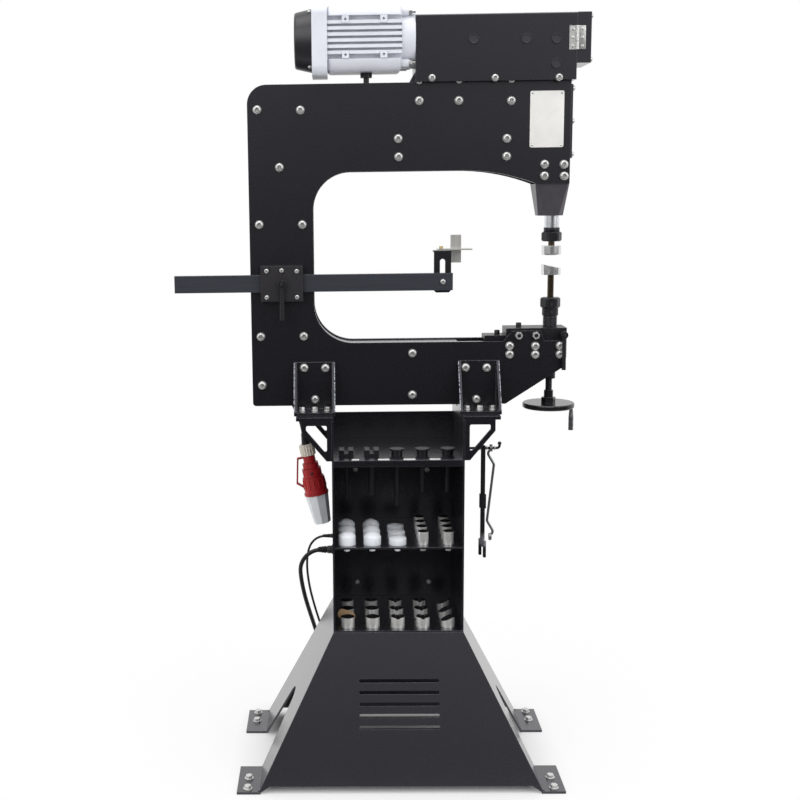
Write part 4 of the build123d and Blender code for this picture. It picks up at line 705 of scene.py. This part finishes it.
# Anvil post: a blacked steel post with a coarse turned thread below its collar, which stands in the clamp
# block. A small screw in the lower nut and one in the collar hold them.
post_r = 0.017
collar_r = 0.019
post_foot = 1.020
collar_foot = 1.097
post_top = 1.116
bore_r = 0.0085
bore_top = 1.1045
chamfer = 0.001
thread_pitch = 0.0025
thread_root = post_r - 0.0014
post_neck = post_r - 0.0016
thread_low = 1.066
thread_turns = 11
post_line = [(0, post_top), (collar_r - chamfer, post_top), (collar_r, post_top - chamfer),
             (collar_r, collar_foot + chamfer), (collar_r - chamfer, collar_foot),
             (post_neck, collar_foot)]
for turn in reversed(range(thread_turns)):
    z = thread_low + turn * thread_pitch
    post_line += [(post_r, z + 0.7 * thread_pitch), (post_r, z + 0.5 * thread_pitch),
                  (thread_root, z + 0.2 * thread_pitch), (thread_root, z)]
post_line += [(post_r, thread_low - chamfer), (post_r, post_foot), (bore_r, post_foot), (bore_r, bore_top),
              (0, bore_top)]
anvil_post = fix_on("threaded_anvil_post", turned(post_line, steps=40), die_axis, black_oxide,
                    "anvil", crease=30)
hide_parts("anvil_post")
set_screw = [(0.0032, 0), (0.0032, 0.0006), (0.0027, 0.0011), (0.0020, 0.0011)]
nut_flat = 0.0215
nut_screw_z = 1.1245
collar_screw_z = 1.1065
collar_sink = 0.0002
fix_on("anvil_set_screws", sink_socket(turned(set_screw, steps=18), across=0.003, depth=0.0009),
       [((die_x, -nut_flat, nut_screw_z), front), ((die_x, -collar_r + collar_sink, collar_screw_z), front)],
       black_oxide, "anvil")


# Clamp block: blacked steel between the plates, slit beside the post. Black cap screws hold it from above
# and two zinc-plated nuts hold it through each plate.
def cap_screw(head, height, socket):
    """A cylindrical socket screw head standing on Z = 0."""
    r = head / 2
    profile = [(r, 0), (r, 0.86 * height), (0.90 * r, height), (0.62 * r, height)]
    return sink_socket(turned(profile), socket, 0.55 * height)


def hex_nut(across, height, bore):
    """A six-sided nut with an open bore and turned-down corners, standing on Z = 0."""
    r = across / math.sqrt(3)
    shape = turned([(r, 0), (r, 0.80 * height), (0.86 * r, height), (bore / 2, height),
                    (bore / 2, 0.2 * height), (0, 0.2 * height)], steps=36)
    to_hexagon([v for v in shape.verts if v.co.xy.length > 0.95 * r], across)
    return shape


block_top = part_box("anvil_block")[1].z
tab_top = 1.054
tab_screw_x = 0.242
block_screw_x = 0.293
fix_on("block_screws", cap_screw(head=0.013, height=0.010, socket=0.006),
       [((tab_screw_x, 0, tab_top), up), ((block_screw_x, 0, block_top), up)],
       black_oxide)
stud_end = [(0, 0.004), (0.0040, 0.004), (0.0040, 0.0066), (0.0034, 0.0072), (0, 0.0072)]
nut_places = [(0.287, 1.055), (0.327, 1.055)]
nut_mounts = on_face(frame_face, front, nut_places) + on_face(frame_back, rear, nut_places)
fix_on("block_nuts", hex_nut(across=0.016, height=0.009, bore=0.009), nut_mounts)
fix_on("block_studs", turned(stud_end, steps=20), nut_mounts, black_oxide)

# Handwheel: a turned and oiled black disc on the elevating screw, which shows its thread above the collar,
# with a plain grip of bare grey steel on the crank pin. The lathe's feed leaves rings about 1 mm apart.
grip_steel = grained("bare_turned_steel", "#77787B", "#A3A4A6", grain=(0.05, 0.05, 0.0011),
                     rough=(0.26, 0.46), relief=(0.12, 0.0003), fixed={"Metallic": 1.0})
dress(grip_steel, "crank_grip")
oiled_black = blacked("oiled_black_steel", "#19181B", "#2E2C2F", worn_and_highlit="#6A6A70", grain=[0.03] * 3, rough=0.10)
dress(oiled_black, "handwheel")
screw_r = 0.0082
screw_root = 0.0072
screw_low = 0.9186
screw_start = 0.9182
screw_thread = [(screw_root, screw_start)]
for turn in range(thread_turns):
    z = screw_low + turn * thread_pitch
    screw_thread += [(screw_root, z), (screw_r, z + 0.0008), (screw_r, z + 0.0012), (screw_root, z + 0.0020)]
fix_on("elevating_thread", turned(screw_thread, steps=24), die_axis, black_oxide,
       "handwheel", crease=30)

# Guide arm: a flat bar of cold-drawn steel, blacked to a bluish grey with streaks along it, in a clamp of
# two bars and a plate held by five socket screws.
drawn_streak = (0.125, 0.002, 0.002)
dress(blacked("blued_drawn_steel", "#2F3138", "#474A53", worn_and_highlit="#74777E", grain=drawn_streak), "guide_arm")
# The clamp has a coarser coat, which stands in 3 mm wrinkles and reads greyer.
wrinkle_coat = grained("black_wrinkle_coat", "#131215", "#322F34", grain=[0.003] * 3, rough=(0.48, 0.30),
                       detail=(3, 3), warp=0.6, edge=0.0014, relief=(0.45, 0.0006))
dress(wrinkle_coat, "arm_clamp")
clamp_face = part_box("arm_clamp")[0].y
clamp_screws = [(-0.301, 1.214), (-0.266, 1.215), (-0.231, 1.213), (-0.301, 1.153), (-0.231, 1.153)]
fix_on("clamp_screws", button_head(head=0.011, height=0.005, socket=0.005),
       on_face(clamp_face, front, clamp_screws))

# Lock levers: a blacked steel hub with a tapering handle, one for the anvil's clamp and one for the arm's.
# A black button screw in the face of each hub holds it on its stud.
hub_places = {"anvil_lock": (0.392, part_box("anvil_lock_lever")[0].y, 1.056),
              "arm_lock": (-0.2659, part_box("arm_lock_lever")[0].y, 1.184)}
for lever, place in hub_places.items():
    fix_on(lever + "_screw", button_head(head=0.009, height=0.003, socket=0.004), [(place, front)],
           black_oxide, lever)

# Work stop: the slotted bracket is held to the arm by a zinc-plated button screw, and the vanes of brushed
# stainless sheet to the bracket's flange by a cap screw with a yellow passivated plate.
stop_x = 0.108
arm_middle = 1.184
arm_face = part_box("guide_arm")[0].y
fix_on("stop_screw", button_head(head=0.013, height=0.005, socket=0.005),
       [((stop_x, arm_face, arm_middle), front)], body="guide_arm")
vane_steel = grained("brushed_stainless_sheet", "#BEBDB9", "#E0DFDB", grain=(0.0011, 0.0011, 0.04),
                     rough=(0.24, 0.44), fixed={"Metallic": 0.65})
dress(vane_steel, "stop_vanes")
yellow_zinc = grained("yellow_passivated_zinc", "#9C8658", "#C9B483", grain=[0.003] * 3,
                      rough=(0.22, 0.40), detail=(3, 3), fixed={"Metallic": 1.0})
stop_top = 1.258
vane_y = -0.005
fix_on("vane_screw", cap_screw(head=0.009, height=0.006, socket=0.005), [((stop_x, vane_y, stop_top), up)],
       yellow_zinc, "work_stop")

# Stored dies: white nylon ones turned from bar, slightly see-through and dull, and steel ones with bright
# ground sides and a painted dark reflection on their tops. A short rawhide strap leans on the first
# column of the lower shelf.
nylon = grained("white_turned_nylon", "#D6DBE3", "#F0F2F5", grain=(0.0333, 0.0333, 0.0014),
                rough=(0.34, 0.54), patch=0.012, detail=(2, 2), edge=0.0012, relief=(0.10, 0.0003),
                fixed={"Subsurface Weight": 0.15, "Subsurface Radius": (0.004, 0.004, 0.004)})
dress(nylon, "nylon_dies")
# The steel is bright with turned rings about 1 mm apart, and a dark reflection is painted on what looks up.
rack_steel, tree, shader, place = new_finish("stored_die_steel")
ring_sizes = (0.0333, 0.0333, 0.0011)
rings = add(tree, "Mapping", {"Vector": place, "Scale": [1 / size for size in ring_sizes]})
feed = add(tree, "TexNoise", {"Vector": rings, "Scale": 1.0, "Detail": 2.0})
steel = add(tree, "Mix", {0: feed, 6: "#E4E3E1", 7: "#FAF9F7"}, data_type="RGBA")
facing = add(tree, "SeparateXYZ", {"Vector": add(tree, "NewGeometry").outputs["True Normal"]})
dark_reflection_on_tops = add(tree, "MapRange", {"Value": facing.outputs["Z"], "From Min": 0.05, "From Max": 0.25})
steel = add(tree, "Mix", {0: dark_reflection_on_tops, 6: steel, 7: "#2A2A2C"}, data_type="RGBA")
shine = add(tree, "MapRange", {"Value": feed, "To Min": 0.10, "To Max": 0.20})
join(tree, shader, {"Base Color": steel, "Roughness": shine, "Metallic": 0.65})
dress(rack_steel, "shelf_dies", "base_dies")
# Rawhide is dry and matt, in a mottled tan.
leather = moulded("tan_rawhide", "#8F7150", "#BE9F78", grain=0.0015, rough=0.6)
strap_turn = math.radians(-18)
strap_place = (-0.1225, -0.0615, 0.3785)
strap_lean = (0, -0.94, 0.34)
strap = flat_plate(width=0.044, height=0.024, corner=0.0115, thickness=0.006)
bmesh.ops.rotate(strap, verts=strap.verts, cent=(0, 0, 0), matrix=Matrix.Rotation(strap_turn, 3, "Z"))
fix_on("rawhide_strap", strap, [(strap_place, strap_lean)], leather)

# Hook and spanners: a bent rod hook with a ball tip carries a blacked fork spanner and a bright ring
# spanner, with zinc-plated clips on the rod between them.
dress(grip_steel, "ring_spanner")
hook_y = -0.100
hook_z = 0.798
ball_x = 0.238
ball_z = hook_z + 0.011
ball = bmesh.new()
bmesh.ops.create_uvsphere(ball, u_segments=16, v_segments=12, radius=0.0045)
fix_on("hook_ball", ball, [((ball_x, hook_y, ball_z), up)], black_oxide)
clip = [(0.0030, 0), (0.0052, 0), (0.0056, 0.0004), (0.0056, 0.0014), (0.0052, 0.0018), (0.0030, 0.0018)]
clip_x = (0.1915, 0.2075, 0.2255)
fix_on("hook_clips", turned(clip, steps=20), [((x, hook_y, hook_z), to_right) for x in clip_x])

# The fork of the black spanner is ground bright where it tapers into its two prongs.
fork_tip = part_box("fork_spanner")[0].z
prong_top = fork_tip + 0.024
bright_low = fork_tip + 0.030
bright_high = fork_tip + 0.044
black_low = fork_tip + 0.060
mottle_size = 0.008
fork_steel, tree, shader, place = new_finish("part_ground_black_steel")
height = add(tree, "SeparateXYZ", {"Vector": place}).outputs["Z"]
neck = add(tree, "MapRange", {"Value": height, "From Min": prong_top, "From Max": bright_low})
upper = add(tree, "MapRange", {"Value": height, "From Min": black_low, "From Max": bright_high})
ground = add(tree, "Math", {0: neck, 1: upper}, operation="MULTIPLY")
mottle = add(tree, "TexNoise", {"Vector": place, "Scale": 1 / mottle_size, "Detail": 4.0})
black = add(tree, "Mix", {0: mottle, 6: "#121215", 7: "#232327"}, data_type="RGBA")
fork = add(tree, "Mix", {0: ground, 6: black, 7: "#8A8A92"}, data_type="RGBA")
shine = add(tree, "MapRange", {"Value": mottle, "To Min": 0.30, "To Max": 0.46})
edges = add(tree, "Bevel", {"Radius": 0.0008}, samples=4)
join(tree, shader, {"Base Color": fork, "Roughness": shine, "Normal": edges, "Metallic": 0.5})
dress(fork_steel, "fork_spanner")

# Electrical box: a folded steel case on the column's back, with a riveted blank plate and two quarter-turn
# locks in its door. Each lock is a moulded black polyamide barrel with a bar across it.
lock_black = moulded("black_polyamide", "#161618", "#202023", grain=0.0012, rough=0.42)
box_door = 0.235
lock_line = [(0.011, 0), (0.011, 0.0016), (0.0098, 0.0024), (0.0078, 0.0024), (0.0072, 0.0008), (0, 0.0008)]
lock_places = [(-0.118, 0.64), (-0.118, 0.46)]
locks = place_copies(turned(lock_line, steps=32), on_face(box_door, rear, lock_places))
for lock_place in lock_places:
    lock_bar = flat_plate(width=0.0024, height=0.0135, corner=0.0004, thickness=0.0028)
    place_copies(lock_bar, on_face(box_door, rear, [lock_place]), locks)
make_piece("box_locks", locks, lock_black)
riveted_plate("box_blank_plate", "box_plate_rivets", (0, box_door, 0.60), rear, width=0.090, height=0.060)


# Cable glands: moulded black polyamide, a hexagon body and a fluted cap that squeezes the cable, and a
# soft tapered boot on each that keeps the cable from bending sharply.
def flute(shape, count, depth, low, high):
    """Press flutes into the band of a spun shape between two heights."""
    for v in shape.verts:
        if low < v.co.z < high and v.co.xy.length > 1e-5:
            turn = math.atan2(v.co.y, v.co.x)
            v.co.xy *= 1 - depth * (0.5 - 0.5 * math.cos(count * turn)) / v.co.xy.length
    return shape


def gland(glands, place, outwards, cable):
    """Add a cable gland for a cable of that diameter, on the wall at a place."""
    nut_high = 0.8 * cable
    cap_high = 1.3 * cable
    body = bmesh.new()
    nut = bmesh.ops.create_cone(body, cap_ends=True, segments=6, radius1=1.2 * cable, radius2=1.2 * cable,
                                depth=nut_high)["verts"]
    bmesh.ops.translate(body, verts=nut, vec=(0, 0, nut_high / 2))
    soften(body, [e for e in body.edges if all(v.co.z > 0.9 * nut_high for v in e.verts)], 0.08 * cable)
    place_copies(body, [(place, outwards)], glands)
    r = 0.95 * cable
    cap = turned([(r, nut_high), (r, nut_high + 0.25 * cap_high), (r, nut_high + 0.6 * cap_high),
                  (0.86 * r, nut_high + 0.85 * cap_high), (0.66 * r, nut_high + cap_high),
                  (0.53 * r, nut_high + cap_high)], steps=48)
    flute(cap, count=12, depth=0.06 * cable, low=nut_high + 0.1 * cap_high, high=nut_high + 0.7 * cap_high)
    place_copies(cap, [(place, outwards)], glands)


mains_cable = 0.011
control_cable = 0.006
box_side = -0.148
slant = Vector((0, 0.96283, 0.27013))
gland_rows = [((box_side, 0.182, 0.472), to_left, mains_cable),
              ((box_side, 0.182, 0.509), to_left, control_cable),
              ((-0.185, 0.20496, 0.09996), slant, mains_cable),
              ((-0.150, 0.19987, 0.1180), slant, control_cable),
              ((-0.275, 0.045, 0.985), rear, mains_cable)]
glands = bmesh.new()
for place, outwards, cable in gland_rows:
    gland(glands, place, outwards, cable)
glands = make_piece("gland_caps", glands, lock_black, crease=40)
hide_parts("cable_glands")

# Leads: round rubber-sheathed cable, 11 mm for power and plug and 6 mm for control. The sheath is matt
# black with a dusty bloom.
rubber = grained("black_cable_rubber", "#08080A", "#121214", grain=[0.0015] * 3, rough=(0.40, 0.60),
                 patch=0.02, detail=(2, 4), relief=(0.12, 0.0003))


def boot(name, place, outwards, cable, length):
    """A tapered rubber sleeve with soft ribs, from a gland's mouth along the cable."""
    line = [(0.52 * cable, 0)]
    ribs = 5
    for number in range(ribs):
        wide = (0.86 - 0.24 * number / ribs) * cable
        z = number * length / ribs
        line += [(wide, z), (wide, z + 0.55 * length / ribs), (wide - 0.09 * cable, z + 0.7 * length / ribs),
                 (wide - 0.09 * cable, z + 0.95 * length / ribs)]
    line += [(0.56 * cable, length), (0.50 * cable, length)]
    return fix_on(name, turned(line, steps=24), [(place, outwards)], rubber)


def lay_lead(name, route, diameter):
    """A lead along a smooth curve by its route, standing for the CAD tube of that name."""
    curve = bpy.data.curves.new(name + "_line", "CURVE")
    curve.dimensions = "3D"
    line = curve.splines.new("NURBS")
    line.points.add(len(route) - 1)
    for point, place in zip(line.points, route):
        point.co = (*place, 1)
    line.order_u = 3
    line.use_endpoint_u = True
    line.resolution_u = 12
    curve.bevel_depth = diameter / 2
    curve.bevel_resolution = 6
    curve.use_fill_caps = True
    curve.materials.append(rubber)
    piece = bpy.data.objects.new(name + "_sheath", curve)
    scene.collection.objects.link(piece)
    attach(piece, "stand")
    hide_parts(name)


power_route = [
    (-0.1711, 0.182, 0.472), (-0.1945, 0.182, 0.472), (-0.2165, 0.1825, 0.4625), (-0.2325, 0.185, 0.4445),
    (-0.2405, 0.191, 0.421), (-0.239, 0.2005, 0.392), (-0.235, 0.2106, 0.3615), (-0.2294, 0.2239, 0.3296),
    (-0.2226, 0.2397, 0.298), (-0.2154, 0.2563, 0.267), (-0.2077, 0.2713, 0.236), (-0.2004, 0.2825, 0.206),
    (-0.1944, 0.2876, 0.177), (-0.190, 0.284, 0.151), (-0.187, 0.271, 0.1285), (-0.185, 0.2513, 0.113),
    (-0.185, 0.2272, 0.1062)]
mains_boot = 0.022
power_boots = [boot("power_boot_box", power_route[0], to_left, mains_cable, mains_boot),
               boot("power_boot_base", power_route[-1], slant, mains_cable, mains_boot)]
lay_lead("power_lead", power_route, mains_cable)
control_route = [
    (-0.1606, 0.182, 0.509), (-0.177, 0.182, 0.509), (-0.1925, 0.184, 0.5045), (-0.2055, 0.188, 0.494),
    (-0.215, 0.193, 0.478), (-0.221, 0.199, 0.454), (-0.223, 0.205, 0.423), (-0.221, 0.2115, 0.390),
    (-0.216, 0.220, 0.354), (-0.2086, 0.230, 0.318), (-0.200, 0.2405, 0.282), (-0.1907, 0.251, 0.247),
    (-0.181, 0.2593, 0.2145), (-0.171, 0.2635, 0.186), (-0.162, 0.261, 0.161), (-0.1553, 0.2503, 0.141),
    (-0.1507, 0.2335, 0.1275), (-0.150, 0.212, 0.1214)]
control_boot = 0.020
control_boots = [boot("control_boot_box", control_route[0], to_left, control_cable, control_boot),
                 boot("control_boot_base", control_route[-1], slant, control_cable, control_boot)]
lay_lead("control_lead", control_route, control_cable)

# Supply plug: a heavy moulded plug that hangs on its own lead. A ribbed black sleeve, an ivory clamp nut
# with flutes, a red body with a screw, and a light grey faceted cap.
plug_top = Vector((-0.224, 0.112, 0.796))
plug_axis = Vector((0.1908, 0, -0.9816))
plug_mount = [(plug_top, plug_axis)]
rib_pitch = 0.0046
rib_groove = 0.0011
sleeve_line = [(0.0052, 0)]
for rib in range(6):
    wide = 0.0078 + 0.0007 * rib
    z = rib_pitch * rib
    sleeve_line += [(wide, z), (wide, z + 0.0028), (wide - rib_groove, z + 0.0034),
                    (wide - rib_groove, z + 0.0044)]
sleeve_line += [(0.0119, 0.028), (0.006, 0.028)]
plug_sleeve = fix_on("plug_sleeve", turned(sleeve_line, steps=32), plug_mount, lock_black)
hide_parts("plug_gland")
ivory = moulded("ivory_polyamide", "#C3BBAC", "#DCD6CA", grain=0.0012, rough=0.42)
nut_r = 0.0195
nut_line = [(0.006, 0.0282), (0.0165, 0.0282), (0.0188, 0.0300), (nut_r, 0.0325), (nut_r, 0.0440),
            (nut_r, 0.0545), (0.0180, 0.0568), (0.006, 0.0568)]
clamp_nut = flute(turned(nut_line, steps=96), count=16, depth=0.0022, low=0.031, high=0.0555)
plug_nut = fix_on("plug_clamp_nut", clamp_nut, plug_mount, ivory, crease=40)
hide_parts("plug_nut")
# Glossy red moulding, whose colour drifts by a shade over a few centimetres.
red = moulded("red_polyamide", "#8C0E15", "#AE151D", grain=0.0012, rough=0.40)
dress(red, "plug_body")
plug_side = Vector((0.9816, 0, 0.1908))
rib_count = 14
rib_start = 0.117
rib_out = 0.0273
rib_splay = 0.065
rib_line = [(0, 0), (0.0012, 0.0008), (0.0014, 0.012), (0.0014, 0.024), (0, 0.025)]
plug_ribs = bmesh.new()
for number in range(rib_count):
    turn = (number + 0.5) * math.tau / rib_count
    out = math.cos(turn) * plug_side + math.sin(turn) * Vector(rear)
    rib_mount = (plug_top + rib_start * plug_axis + rib_out * out, plug_axis + rib_splay * out)
    place_copies(turned(rib_line, steps=8), [rib_mount], plug_ribs)
plug_ribs = make_piece("plug_ribs", plug_ribs, red)
pale_grey = moulded("light_grey_polyamide", "#C4C8CC", "#DCDFE2", grain=0.0012, rough=0.38)
dress(pale_grey, "plug_cap")
screw_down = 0.102
screw_out = 0.0237
screw_place = plug_top + screw_down * plug_axis + screw_out * Vector(front)
plug_screw = fix_on("plug_screw", button_head(head=0.007, height=0.0025, socket=0.003),
                    [(screw_place, front)], black_oxide)
plug_route = [
    (-0.275, 0.0681, 0.985), (-0.275, 0.093, 0.985), (-0.2745, 0.116, 0.975), (-0.2733, 0.1335, 0.957),
    (-0.2708, 0.143, 0.934), (-0.266, 0.144, 0.9075), (-0.2575, 0.1385, 0.881), (-0.246, 0.1275, 0.860),
    (-0.236, 0.1165, 0.840), (-0.2286, 0.112, 0.8196), (-0.224, 0.112, 0.796)]
plug_boot = boot("plug_boot_frame", plug_route[0], rear, mains_cable, mains_boot)
lay_lead("plug_lead", plug_route, mains_cable)
